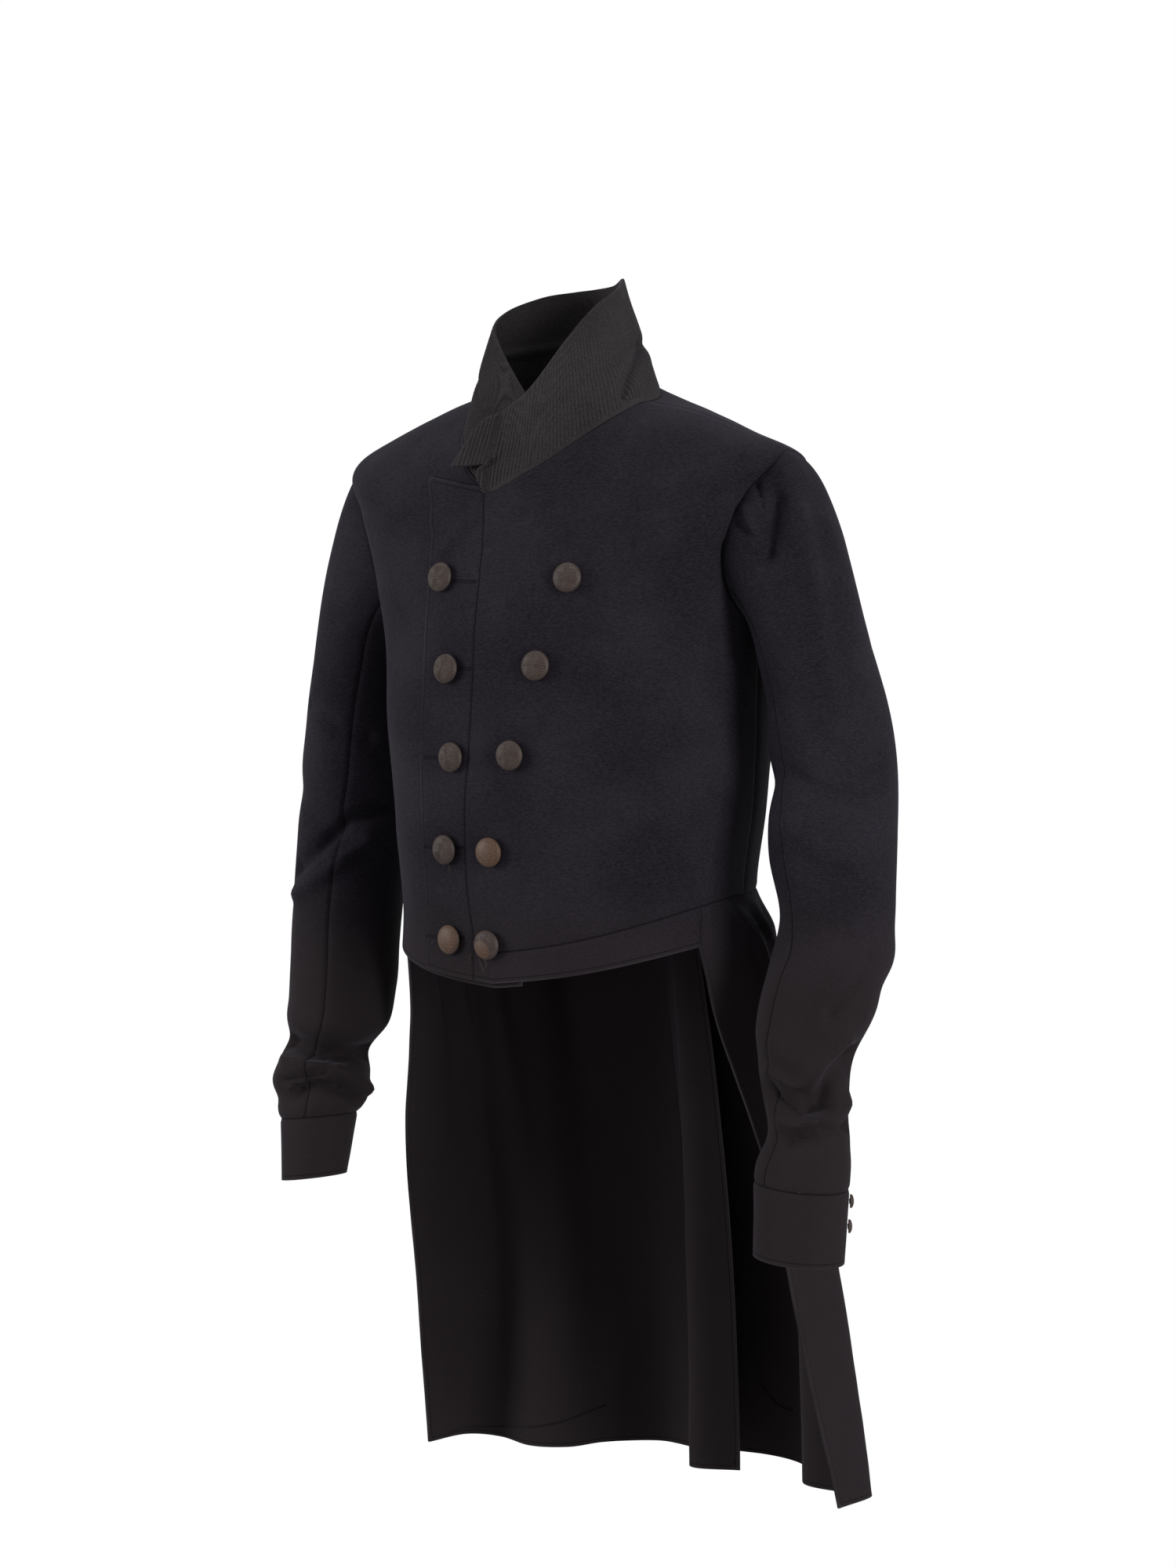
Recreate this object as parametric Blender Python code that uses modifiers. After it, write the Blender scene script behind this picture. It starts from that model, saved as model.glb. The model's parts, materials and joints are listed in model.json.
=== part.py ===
"""A double-breasted wool tailcoat, worn with its collar turned up, as thin cloth walls.

Metres, +Z up. The wearer faces -Y and their left arm is at +X. The origin is between the
shoulders at the base of the neck, where the wearer carries the coat.

Angles turn from the front centre over the wearer's left side. The bodice is one surface with two
parameters, the angle and a height from 0 at the waist seam to 1 at the neck seam, and every panel
is cut from it between its seams.
"""

import math
from collections import namedtuple

import bmesh
import bpy
import numpy as np
from mathutils import Vector

COLLECTION = "wool_tailcoat"
SHARP_ANGLE = math.radians(50)

# Cloth and seams
WALL = 0.002
SEAM_GAP = 0.0003
OVERLAP_LIFT = 0.0036
ANGLE_STEP = 0.5
HEIGHT_STEP = 0.004

# Sections of the bodice, from the hem of the band up to the neck seam
Level = namedtuple("Level", "height half_left half_right front back z_front z_side z_back y_side raise_right square")
LEVELS = [
    Level(-0.14, 0.159, 0.157, -0.106, 0.152, -0.4885, -0.456, -0.436, 0.018, 0.000, 2.25),
    Level(0.00, 0.155, 0.153, -0.105, 0.141, -0.437, -0.391, -0.375, 0.018, 0.000, 2.25),
    Level(0.17, 0.165, 0.157, -0.114, 0.143, -0.360, -0.320, -0.300, 0.017, 0.000, 2.25),
    Level(0.37, 0.172, 0.163, -0.120, 0.149, -0.262, -0.228, -0.215, 0.015, 0.000, 2.25),
    Level(0.50, 0.175, 0.168, -0.118, 0.151, -0.198, -0.168, -0.160, 0.015, 0.001, 2.25),
    Level(0.63, 0.185, 0.182, -0.113, 0.149, -0.147, -0.112, -0.112, 0.015, 0.006, 2.30),
    Level(0.76, 0.199, 0.199, -0.108, 0.139, -0.107, -0.060, -0.066, 0.013, 0.016, 2.35),
    Level(0.84, 0.206, 0.204, -0.105, 0.126, -0.091, -0.031, -0.032, 0.008, 0.022, 2.40),
    Level(0.90, 0.165, 0.160, -0.104, 0.108, -0.080, -0.012, -0.002, 0.000, 0.021, 2.45),
    Level(0.95, 0.128, 0.106, -0.104, 0.085, -0.071, 0.004, 0.028, -0.014, 0.018, 2.50),
    Level(1.00, 0.0935, 0.053, -0.105, 0.058, -0.063, 0.012, 0.053, -0.030, 0.018, 2.55),
]
LOOP_SOFTNESS = 0.4

# Seams of the bodice, as angles in degrees
STRIP_CORNER_HEIGHT = 0.935
FrontEdge = namedtuple("FrontEdge", "height angle")
LEFT_FRONT_EDGE = [
    FrontEdge(-0.10, -7.2),
    FrontEdge(0.00, -7.0),
    FrontEdge(0.12, -8.0),
    FrontEdge(0.25, -7.0),
    FrontEdge(0.37, -4.5),
    FrontEdge(0.55, -3.4),
    FrontEdge(0.75, -2.6),
    FrontEdge(0.90, -3.6),
    FrontEdge(1.00, -6.8),
]
RIGHT_FRONT_EDGE = [
    FrontEdge(-0.10, -9.0),
    FrontEdge(0.60, -9.0),
    FrontEdge(0.85, -4.0),
    FrontEdge(1.00, 6.8),
]
StripEdge = namedtuple("StripEdge", "height angle")
STRIP_EDGE = [
    StripEdge(-0.10, -27.2),
    StripEdge(0.00, -27.0),
    StripEdge(0.20, -25.2),
    StripEdge(0.40, -22.7),
    StripEdge(0.60, -20.2),
    StripEdge(0.72, -18.2),
    StripEdge(0.80, -17.6),
    StripEdge(0.86, -19.2),
    StripEdge(0.90, -23.6),
    StripEdge(STRIP_CORNER_HEIGHT, -32.2),
]
SIDE_SEAM_WAIST = 97.0
BACK_SEAM_WAIST = 165.0
BACK_SEAM_CURVE = 8.0
NECK_POINT = 97.0
TAIL_CORNER = 69.0
LIFT_START = 14.0
LIFT_END = 32.0

# Armhole, an oval in angle and height; its own angle starts at the shoulder and turns forward
ARM_ANGLE = 93.0
ARM_FORWARD = 27.0
ARM_BACKWARD = 29.0
ARM_HEIGHT = 0.67
ARM_HALF_HEIGHT = 0.17
ARM_STEP = 18.0
ARM_FRONT_STEPS = 10
ARM_SIDE_STEPS = 4
ARM_BACK_STEPS = 6

# Grids of the bodice
SIDE_ROWS = 7
EDGE_ROWS = 5
NECK_FRONT_ROWS = 5
CENTRE_BACK_ROWS = 3
NECK_BACK_ROWS = 3
FRONT_STATIONS = [i * 0.72 / 7 for i in range(7)] + [0.72 + i * 0.28 / 3 for i in range(4)]
CORNER_STATION = 7
STRIP_COLUMNS = 3

# Band under the waist seam: how far its hem lies below the seam, in units of height
BAND_FRONT = 0.066
BAND_CORNER = 0.072
RIGHT_BAND_EXTRA = 0.010
BAND_ROWS = 2

# Tails: front edge and hem, the right one in its own mirrored x
TAIL_HEM_Z = -0.900
TAIL_ROWS = 13
Edge = namedtuple("Edge", "x y z")
TAIL_FRONT_EDGE = [
    Edge(0.1550, -0.012, -0.495),
    Edge(0.1640, -0.002, -0.532),
    Edge(0.1780, 0.012, -0.587),
    Edge(0.1970, 0.056, -0.765),
    Edge(0.2110, 0.090, TAIL_HEM_Z),
]
Hem = namedtuple("Hem", "across x y")
LEFT_HEM = [
    Hem(0.00, 0.211, 0.090),
    Hem(0.16, 0.212, 0.146),
    Hem(0.27, 0.180, 0.142),
    Hem(0.38, 0.150, 0.147),
    Hem(0.56, 0.118, 0.205),
    Hem(0.66, 0.097, 0.219),
    Hem(0.78, 0.064, 0.2255),
    Hem(0.87, 0.038, 0.223),
    Hem(1.00, 0.002, 0.221),
]
RIGHT_HEM = [
    Hem(0.00, 0.218, 0.100),
    Hem(0.14, 0.206, 0.147),
    Hem(0.26, 0.172, 0.153),
    Hem(0.38, 0.130, 0.139),
    Hem(0.50, 0.100, 0.152),
    Hem(0.64, 0.083, 0.186),
    Hem(0.80, 0.045, 0.219),
    Hem(1.00, 0.000, 0.214),
]
TAIL_SIDE_COLUMNS = 12
TAIL_BACK_COLUMNS = 3
TAIL_FLARE = 0.95
EDGE_REACH = 0.30
BACK_CENTRE = 0.018
Pleat = namedtuple("Pleat", "across width depth")
PLEATS = [
    Pleat(0.20, 0.045, 0.013),
    Pleat(0.33, 0.045, 0.011),
    Pleat(0.47, 0.050, 0.010),
    Pleat(0.66, 0.050, 0.008),
]
PLEAT_GROWTH = 0.07
PLEAT_FADE = 0.60
VENT_COLUMNS = 4
VENT_ANGLE = 14.0
VENT_RAMP = 6.0
VENT_INSET = 0.0035
Vent = namedtuple("Vent", "across x y")
VENT_HEM = [
    Vent(0.0, 0.000, 0.214),
    Vent(0.3, -0.020, 0.180),
    Vent(0.6, -0.034, 0.149),
    Vent(1.0, -0.076, 0.1605),
]

# Collar: where each column starts on the neck seam, and its point on the upper edge
Column = namedtuple("Column", "angle x y z")
COLLAR = [
    Column(-6.8, -0.0420, -0.1085, -0.0405),
    Column(-3.0, -0.0290, -0.0980, -0.0125),
    Column(6.0, -0.0050, -0.0890, 0.0050),
    Column(16.0, 0.0105, -0.0790, 0.0195),
    Column(32.0, 0.0420, -0.0690, 0.0590),
    Column(50.0, 0.0590, -0.0460, 0.0915),
    Column(64.0, 0.0620, -0.0200, 0.1070),
    Column(80.0, 0.0530, 0.0030, 0.1190),
    Column(115.0, 0.0380, 0.0260, 0.1240),
    Column(150.0, 0.0200, 0.0440, 0.1240),
    Column(180.0, 0.0000, 0.0510, 0.1240),
    Column(210.0, -0.0200, 0.0425, 0.1220),
    Column(245.0, -0.0385, 0.0175, 0.1150),
    Column(275.0, -0.0530, -0.0135, 0.1000),
    Column(296.0, -0.0515, -0.0330, 0.0860),
    Column(316.0, -0.0360, -0.0480, 0.0670),
    Column(336.0, -0.0120, -0.0620, 0.0400),
    Column(353.2, 0.0140, -0.0725, 0.0110),
]
COLLAR_ROWS = 5
COLLAR_BULGE = 0.0015
COLLAR_CENTRE = -0.020
COLLAR_CELL_ANGLE = 8.0
RIBBED_STEPS = 4
RIB_RISE = 0.0005
COLLAR_END_REACH = 13.0
CollarEnd = namedtuple("CollarEnd", "share x y z")
COLLAR_END = [
    CollarEnd(0.0, -0.0110, -0.1080, -0.0620),
    CollarEnd(0.2, -0.0185, -0.1090, -0.0470),
    CollarEnd(0.4, -0.0045, -0.1070, -0.0400),
    CollarEnd(0.6, -0.0150, -0.1080, -0.0402),
    CollarEnd(0.8, -0.0280, -0.1085, -0.0404),
    CollarEnd(1.0, -0.0420, -0.1090, -0.0405),
]

# Sleeves: level sections below the armhole, x taken as positive on both sides
Ring = namedtuple("Ring", "z x y half_x half_y")
LEFT_ARM = [
    Ring(-0.190, 0.2260, 0.018, 0.0450, 0.0520),
    Ring(-0.240, 0.2378, 0.022, 0.0475, 0.0530),
    Ring(-0.300, 0.2414, 0.024, 0.0510, 0.0550),
    Ring(-0.360, 0.2425, 0.020, 0.0505, 0.0530),
    Ring(-0.410, 0.2475, 0.018, 0.0450, 0.0490),
    Ring(-0.450, 0.2433, 0.010, 0.0495, 0.0510),
    Ring(-0.490, 0.2340, 0.004, 0.0450, 0.0480),
    Ring(-0.515, 0.2296, -0.002, 0.0380, 0.0420),
    Ring(-0.550, 0.2328, -0.008, 0.0325, 0.0360),
    Ring(-0.580, 0.2396, -0.012, 0.0325, 0.0370),
    Ring(-0.605, 0.2354, -0.016, 0.0370, 0.0400),
    Ring(-0.617, 0.2348, -0.018, 0.0375, 0.0400),
]
RIGHT_ARM = [
    Ring(-0.190, 0.2240, 0.020, 0.0460, 0.0520),
    Ring(-0.240, 0.2340, 0.024, 0.0480, 0.0530),
    Ring(-0.300, 0.2400, 0.028, 0.0510, 0.0540),
    Ring(-0.360, 0.2425, 0.022, 0.0500, 0.0530),
    Ring(-0.420, 0.2430, 0.012, 0.0480, 0.0500),
    Ring(-0.480, 0.2390, 0.002, 0.0470, 0.0490),
    Ring(-0.512, 0.2400, -0.004, 0.0440, 0.0460),
    Ring(-0.537, 0.2500, -0.010, 0.0370, 0.0420),
    Ring(-0.558, 0.2500, -0.014, 0.0410, 0.0450),
    Ring(-0.583, 0.2480, -0.018, 0.0370, 0.0410),
    Ring(-0.592, 0.2475, -0.022, 0.0310, 0.0370),
]
Cuff = namedtuple("Cuff", "end_x end_y end_z end_half_x end_half_y slant")
LEFT_CUFF = Cuff(0.2346, -0.022, -0.675, 0.0355, 0.0390, 0.004)
RIGHT_CUFF = Cuff(0.2460, -0.030, -0.645, 0.0255, 0.0330, 0.003)
HEAD_RINGS = 6
INWARD_SHARE = 0.02
ARM_ROWS = 15
HALF_SLEEVE_COLUMNS = 10
CUFF_ROWS = 2
HEAD_FRONT_SEAM = -36.0
HEAD_OUTWARD = (0.80, -0.25, -0.45)
HEAD_REACH = 0.065
HEAD_REACH_TOP = 0.040
ARM_REACH = 0.085
ARM_REACH_TOP = 0.060
FOLD_EASE_TOP = 0.040
FOLD_EASE_CUFF = 0.020
ELBOW_Z = -0.50
FOLD_RIDGE = 0.35
Seam = namedtuple("Seam", "z front hind")
SLEEVE_SEAMS = [
    Seam(-0.190, -34.0, 135.0),
    Seam(-0.300, -26.0, 80.0),
    Seam(-0.400, -20.0, 70.0),
    Seam(-0.450, -20.0, 100.0),
    Seam(-0.520, -20.0, 118.0),
    Seam(-0.620, -22.0, 122.0),
]
Fold = namedtuple("Fold", "z angle height width slant depth")
LEFT_FOLDS = [
    Fold(-0.420, 20.0, 0.016, 60.0, 0.020, 0.0060),
    Fold(-0.545, 40.0, 0.012, 75.0, -0.016, 0.0070),
    Fold(-0.578, 60.0, 0.010, 60.0, -0.006, 0.0050),
    Fold(-0.300, -60.0, 0.018, 55.0, 0.020, 0.0050),
    Fold(-0.470, 150.0, 0.014, 55.0, -0.012, 0.0050),
]
RIGHT_FOLDS = [
    Fold(-0.340, -10.0, 0.016, 60.0, 0.030, 0.0060),
    Fold(-0.528, 0.0, 0.011, 85.0, 0.004, 0.0060),
    Fold(-0.572, -5.0, 0.009, 80.0, -0.004, 0.0050),
    Fold(-0.430, 150.0, 0.014, 55.0, -0.012, 0.0050),
]

# Buttons: covered domes on the two fronts, by x and z of their centres
BUTTON_PROFILE = [
    (0.0, 0.0078),
    (0.0065, 0.0069),
    (0.0108, 0.0045),
    (0.0120, 0.0026),
    (0.0112, 0.0014),
    (0.0045, 0.0012),
    (0.0045, 0.0),
    (0.0, 0.0),
]
CUFF_BUTTON_SCALE = 0.46
BUTTON_SIDES = 12
ButtonPlace = namedtuple("ButtonPlace", "x z")
EDGE_BUTTONS = [
    ButtonPlace(-0.047, -0.1315),
    ButtonPlace(-0.036, -0.2065),
    ButtonPlace(-0.030, -0.278),
    ButtonPlace(-0.041, -0.353),
    ButtonPlace(-0.043, -0.427),
]
BREAST_BUTTONS = [
    ButtonPlace(0.0725, -0.136),
    ButtonPlace(0.049, -0.206),
    ButtonPlace(0.027, -0.277),
    ButtonPlace(0.004, -0.3545),
    ButtonPlace(-0.004, -0.430),
]
NEWTON_STEPS = 12
ANGLE_TRIAL = 0.1
HEIGHT_TRIAL = 0.001
CUFF_BUTTON_ANGLE = 118.0
CUFF_BUTTON_SHARES = [0.16, 0.50]

# Colours
CLOTH = (0.012, 0.011, 0.015)
COLLAR_CLOTH = (0.020, 0.019, 0.019)
THREAD = (0.045, 0.034, 0.028)


def through(knots, values, at):
    """Smooth curve through the values at the knots, read at the given places."""
    knots = np.asarray(knots, float)
    values = np.asarray(values, float)
    if values.ndim == 1:
        return through(knots, values[:, None], at)[..., 0]
    slopes = np.gradient(values, knots, axis=0)
    at = np.clip(np.asarray(at, float), knots[0], knots[-1])
    cell = np.clip(np.searchsorted(knots, at, side="right") - 1, 0, len(knots) - 2)
    width = (knots[cell + 1] - knots[cell])[..., None]
    u = (at - knots[cell])[..., None] / width
    start = values[cell] * (1 + 2 * u) * (1 - u) ** 2 + slopes[cell] * width * u * (1 - u) ** 2
    end = values[cell + 1] * u**2 * (3 - 2 * u) + slopes[cell + 1] * width * u**2 * (u - 1)
    return start + end


def smooth_step(value, low, high):
    """0 below low, 1 above high, and a smooth rise between them."""
    u = np.clip((np.asarray(value, float) - low) / (high - low), 0, 1)
    return u * u * (3 - 2 * u)


def unit(vectors):
    """The same directions at length 1."""
    return vectors / np.linalg.norm(vectors, axis=-1, keepdims=True)


def loop_share(turn):
    """Share of a loop's rise at a quarter turn's share, a little soft at both ends."""
    turn = np.clip(turn, 0, 1)
    return turn - LOOP_SOFTNESS * np.sin(2 * np.pi * turn) / (2 * np.pi)


def bodice(angle, height):
    """Point of the bodice's outer surface, with the angle in degrees from -180 to 200."""
    table = np.array(LEVELS)
    level = through(table[:, 0], table[:, 1:], height)
    half_left, half_right, front, back, z_front, z_side, z_back, y_side, raise_right, square = np.moveaxis(
        level, -1, 0
    )
    turn = np.radians(angle)
    sine, cosine = np.sin(turn), np.cos(turn)
    half = half_left * (1 + sine) / 2 + half_right * (1 - sine) / 2
    reach = (np.abs(sine) ** square + np.abs(cosine) ** square) ** (-1 / square)
    z_side = z_side + raise_right * (1 - sine) / 2
    depth = np.where(cosine > 0, y_side - front, back - y_side)
    quarter = np.abs((np.asarray(angle) + 180) % 360 - 180) / 90
    z = z_front + (z_side - z_front) * loop_share(quarter) + (z_back - z_side) * loop_share(quarter - 1)
    return np.stack([half * sine * reach, y_side - depth * cosine * reach, z], axis=-1)


def bodice_normal(angle, height):
    """Outward direction of the bodice's surface."""
    around = bodice(angle + ANGLE_STEP, height) - bodice(angle - ANGLE_STEP, height)
    up = bodice(angle, height + HEIGHT_STEP) - bodice(angle, height - HEIGHT_STEP)
    return unit(np.cross(around, up))


def overlap_lift(angle, side):
    """How far the left front lies off the bodice's surface, over the right front."""
    if side < 0:
        return np.zeros_like(angle)
    return OVERLAP_LIFT * (1 - smooth_step(angle, LIFT_START, LIFT_END))


def faces_of(cut, side):
    """Outer and inner points of the bodice at a grid of (angle, height), on the given side."""
    angle, height = cut[..., 0], cut[..., 1]
    outer = bodice(angle * side, height)
    normal = bodice_normal(angle * side, height)
    lift = overlap_lift(angle, side)[..., None]
    return outer + normal * lift, outer + normal * (lift - WALL)


def ruled(left, right, stations):
    """Grid between two curves of equally many points, rows along the curves."""
    share = np.asarray(stations)[None, :, None]
    return left[:, None] * (1 - share) + right[:, None] * share


def pulled_in(grid, sides):
    """Moves the named borders of a grid inwards, by half of the gap that a seam has."""
    moved = grid.copy()
    half = SEAM_GAP / 2
    if "bottom" in sides:
        moved[0] += unit(grid[1] - grid[0]) * half
    if "top" in sides:
        moved[-1] += unit(grid[-2] - grid[-1]) * half
    if "left" in sides:
        moved[:, 0] += unit(grid[:, 1] - grid[:, 0]) * half
    if "right" in sides:
        moved[:, -1] += unit(grid[:, -2] - grid[:, -1]) * half
    return moved


def grid_normals(grid, wrapped=False):
    """Directions across a grid, outward where its columns turn left and its rows rise."""
    if wrapped:
        around = np.roll(grid, -1, axis=1) - np.roll(grid, 1, axis=1)
    else:
        around = np.gradient(grid, axis=1)
    return unit(np.cross(around, np.gradient(grid, axis=0)))


def new_object(name, verts, faces, material):
    """Object from points and faces, with its faces turned out and its round parts smooth."""
    mesh = bpy.data.meshes.new(name)
    mesh.from_pydata([tuple(point) for point in verts], [], faces)
    work = bmesh.new()
    work.from_mesh(mesh)
    bmesh.ops.recalc_face_normals(work, faces=work.faces)
    work.to_mesh(mesh)
    work.free()
    mesh.shade_smooth()
    mesh.set_sharp_from_angle(angle=SHARP_ANGLE)
    mesh.materials.append(material)
    obj = bpy.data.objects.new(name, mesh)
    bpy.data.collections[COLLECTION].objects.link(obj)
    return obj


def wall(name, patches, material, wrapped=False):
    """Closed wall from patches of (outer, inner) grids, which share points where they meet."""
    index_of, outer_points, inner_points, quads = {}, [], [], []
    for outer, inner in patches:
        rows, columns = outer.shape[:2]
        index = np.empty((rows, columns), int)
        for row in range(rows):
            for column in range(columns):
                key = tuple(np.round(outer[row, column], 7))
                if key not in index_of:
                    index_of[key] = len(outer_points)
                    outer_points.append(outer[row, column])
                    inner_points.append(inner[row, column])
                index[row, column] = index_of[key]
        last = columns if wrapped else columns - 1
        for row in range(rows - 1):
            for column in range(last):
                after = (column + 1) % columns
                low, high = index[row], index[row + 1]
                quads.append([int(i) for i in (low[column], low[after], high[after], high[column])])
    count = len(outer_points)
    edges = [pair for quad in quads for pair in zip(quad, quad[1:] + quad[:1])]
    known = set(edges)
    rim = [[b, a, a + count, b + count] for a, b in edges if (b, a) not in known]
    inside = [[i + count for i in reversed(quad)] for quad in quads]
    return new_object(name, outer_points + inner_points, quads + inside + rim, material)


def steps(start, end, count):
    """count + 1 evenly spaced pairs from start to end."""
    return np.linspace(start, end, count + 1)


def armhole(turn):
    """(angle, height) of the armhole at its own angle in degrees."""
    turn = np.radians(turn)
    reach = np.where(np.sin(turn) > 0, ARM_FORWARD, ARM_BACKWARD)
    return np.stack(
        [ARM_ANGLE - reach * np.sin(turn), ARM_HEIGHT + ARM_HALF_HEIGHT * np.cos(turn)], axis=-1
    )


def side_seam():
    """Seam between front and side body, from the waist up to the armhole."""
    return steps((SIDE_SEAM_WAIST, 0.0), armhole(180.0), SIDE_ROWS)


def back_seam():
    """Curved seam between side body and back, from the waist up to the armhole."""
    top = armhole(180.0 + ARM_SIDE_STEPS * ARM_STEP)
    seam = steps((BACK_SEAM_WAIST, 0.0), top, SIDE_ROWS)
    seam[:, 0] += BACK_SEAM_CURVE * np.sin(np.pi * np.linspace(0, 1, SIDE_ROWS + 1))
    return seam


def front_edge(side):
    """(angle, height) along the front's own edge, from the waist up to the neck."""
    rows = LEFT_FRONT_EDGE if side > 0 else RIGHT_FRONT_EDGE
    low = np.linspace(0, ARM_HEIGHT - ARM_HALF_HEIGHT, SIDE_ROWS + 1)
    heights = np.concatenate([low, np.linspace(low[-1], 1, EDGE_ROWS + 1)[1:]])
    return np.stack([through([r.height for r in rows], [r.angle for r in rows], heights), heights], axis=-1)


def front_cut(side):
    """Grid of a front: edge and neck on its left, side seam and armhole on its right."""
    edge = front_edge(side)
    neck = steps(edge[-1], (NECK_POINT, 1.0), NECK_FRONT_ROWS)[1:]
    turns = 180 - ARM_STEP * np.arange(1, ARM_FRONT_STEPS + 1)
    outside = np.concatenate([side_seam(), armhole(turns)])
    return ruled(np.concatenate([edge, neck]), outside, FRONT_STATIONS)


def side_cut():
    """Grid of a side body between side seam and back seam, up to the armhole."""
    grid = ruled(side_seam(), back_seam(), np.linspace(0, 1, ARM_SIDE_STEPS + 1))
    turns = 180 + ARM_STEP * np.arange(ARM_SIDE_STEPS + 1)
    share = np.linspace(0, 1, SIDE_ROWS + 1)[:, None, None] ** 2
    return grid + share * (armhole(turns) - grid[-1])[None]


def back_cut():
    """Grid of a back: back seam and armhole on its left, centre back and neck on its right."""
    turns = 180 + ARM_STEP * (ARM_SIDE_STEPS + np.arange(1, ARM_BACK_STEPS + 1))
    outside = np.concatenate([back_seam(), armhole(turns)])
    centre = steps((180.0, 0.0), (180.0, 1.0), SIDE_ROWS + CENTRE_BACK_ROWS)
    neck = steps((180.0, 1.0), (NECK_POINT, 1.0), NECK_BACK_ROWS)[1:]
    return ruled(outside, np.concatenate([centre, neck]), 1 - np.array(FRONT_STATIONS)[::-1])


def band_drop(angle, side):
    """Height of the band's hem below the waist seam at an angle."""
    share = np.clip(np.asarray(angle, float) / TAIL_CORNER, 0, 1)
    extra = RIGHT_BAND_EXTRA * (1 - share) if side < 0 else 0
    return BAND_FRONT + (BAND_CORNER - BAND_FRONT) * share + extra


def strip_cut():
    """Grid of the buttonhole strip, from the hem of the band to the lapel's top edge."""
    seam = front_edge(1)
    below = np.linspace(-band_drop(seam[0, 0], 1), 0, BAND_ROWS + 1)[:-1]
    seam = np.concatenate([np.stack([np.full(BAND_ROWS, seam[0, 0]), below], axis=-1), seam])
    share = (seam[:, 1] - seam[0, 1]) / (1 - seam[0, 1])
    height = seam[0, 1] + share * (STRIP_CORNER_HEIGHT - seam[0, 1])
    angle = through([r.height for r in STRIP_EDGE], [r.angle for r in STRIP_EDGE], height)
    free = np.stack([angle, height], axis=-1)
    return ruled(free, seam, np.linspace(0, 1, STRIP_COLUMNS + 1))


def bodice_panel(name, cut, side, sides, material):
    """Panel of the bodice from its grid of (angle, height)."""
    outer, inner = faces_of(cut, side)
    return wall(name, [(pulled_in(outer, sides), pulled_in(inner, sides))], material)


def on_polyline(places, knots, points):
    """Points at the given places along straight stretches between the knots."""
    return np.stack([np.interp(places, knots, points[:, axis]) for axis in range(3)], axis=-1)


def waist_points(angles, side):
    """Outer and inner points on the waist seam, straight between the bodice's own points."""
    knots = np.concatenate([front_cut(side)[0, :, 0], side_cut()[0, 1:, 0], back_cut()[0, 1:, 0]])
    outer, inner = faces_of(np.stack([knots, np.zeros_like(knots)], axis=-1), side)
    return on_polyline(angles, knots, outer), on_polyline(angles, knots, inner)


def tail_angles(side):
    """Angles of the tail's columns along the waist seam, from the band's corner to the back."""
    front = front_cut(side)[0, CORNER_STATION:, 0]
    middle = np.linspace(SIDE_SEAM_WAIST, BACK_SEAM_WAIST, TAIL_SIDE_COLUMNS + 1)[1:]
    back = np.linspace(BACK_SEAM_WAIST, 180.0, TAIL_BACK_COLUMNS + 1)[1:]
    return np.concatenate([front, middle, back])


def band_grids(side):
    """Outer and inner points of the band, rows from the waist seam down to its hem."""
    angles = front_cut(side)[0, : CORNER_STATION + 1, 0]
    shares = np.linspace(0, 1, BAND_ROWS + 1)[1:]
    cut = np.array([np.stack([angles, -band_drop(angles, side) * share], axis=-1) for share in shares])
    outer, inner = faces_of(cut, side)
    top_outer, top_inner = waist_points(angles, side)
    return np.concatenate([top_outer[None], outer]), np.concatenate([top_inner[None], inner])


def tail_edge(corner, side):
    """Front edge of a tail from the band's corner down to the hem, ending where the hem begins."""
    hem = LEFT_HEM[0] if side > 0 else RIGHT_HEM[0]
    edge = np.array([tuple(corner)] + [(row.x * side, row.y, row.z) for row in TAIL_FRONT_EDGE])
    share = ((edge[:, 2] - corner[2]) / (TAIL_HEM_Z - corner[2]))[:, None]
    edge[:, :2] += share * (np.array([hem.x * side, hem.y]) - edge[-1, :2])
    return edge


def vent_columns(side):
    """Angles and hem places of the vent flap, which the right tail has behind the left one."""
    if side > 0:
        return np.empty(0), np.empty((0, 2))
    share = np.linspace(0, 1, VENT_COLUMNS + 1)[1:]
    plan = np.array(VENT_HEM)
    return 180.0 + VENT_ANGLE * share, through(plan[:, 0], plan[:, 1:], share)


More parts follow.
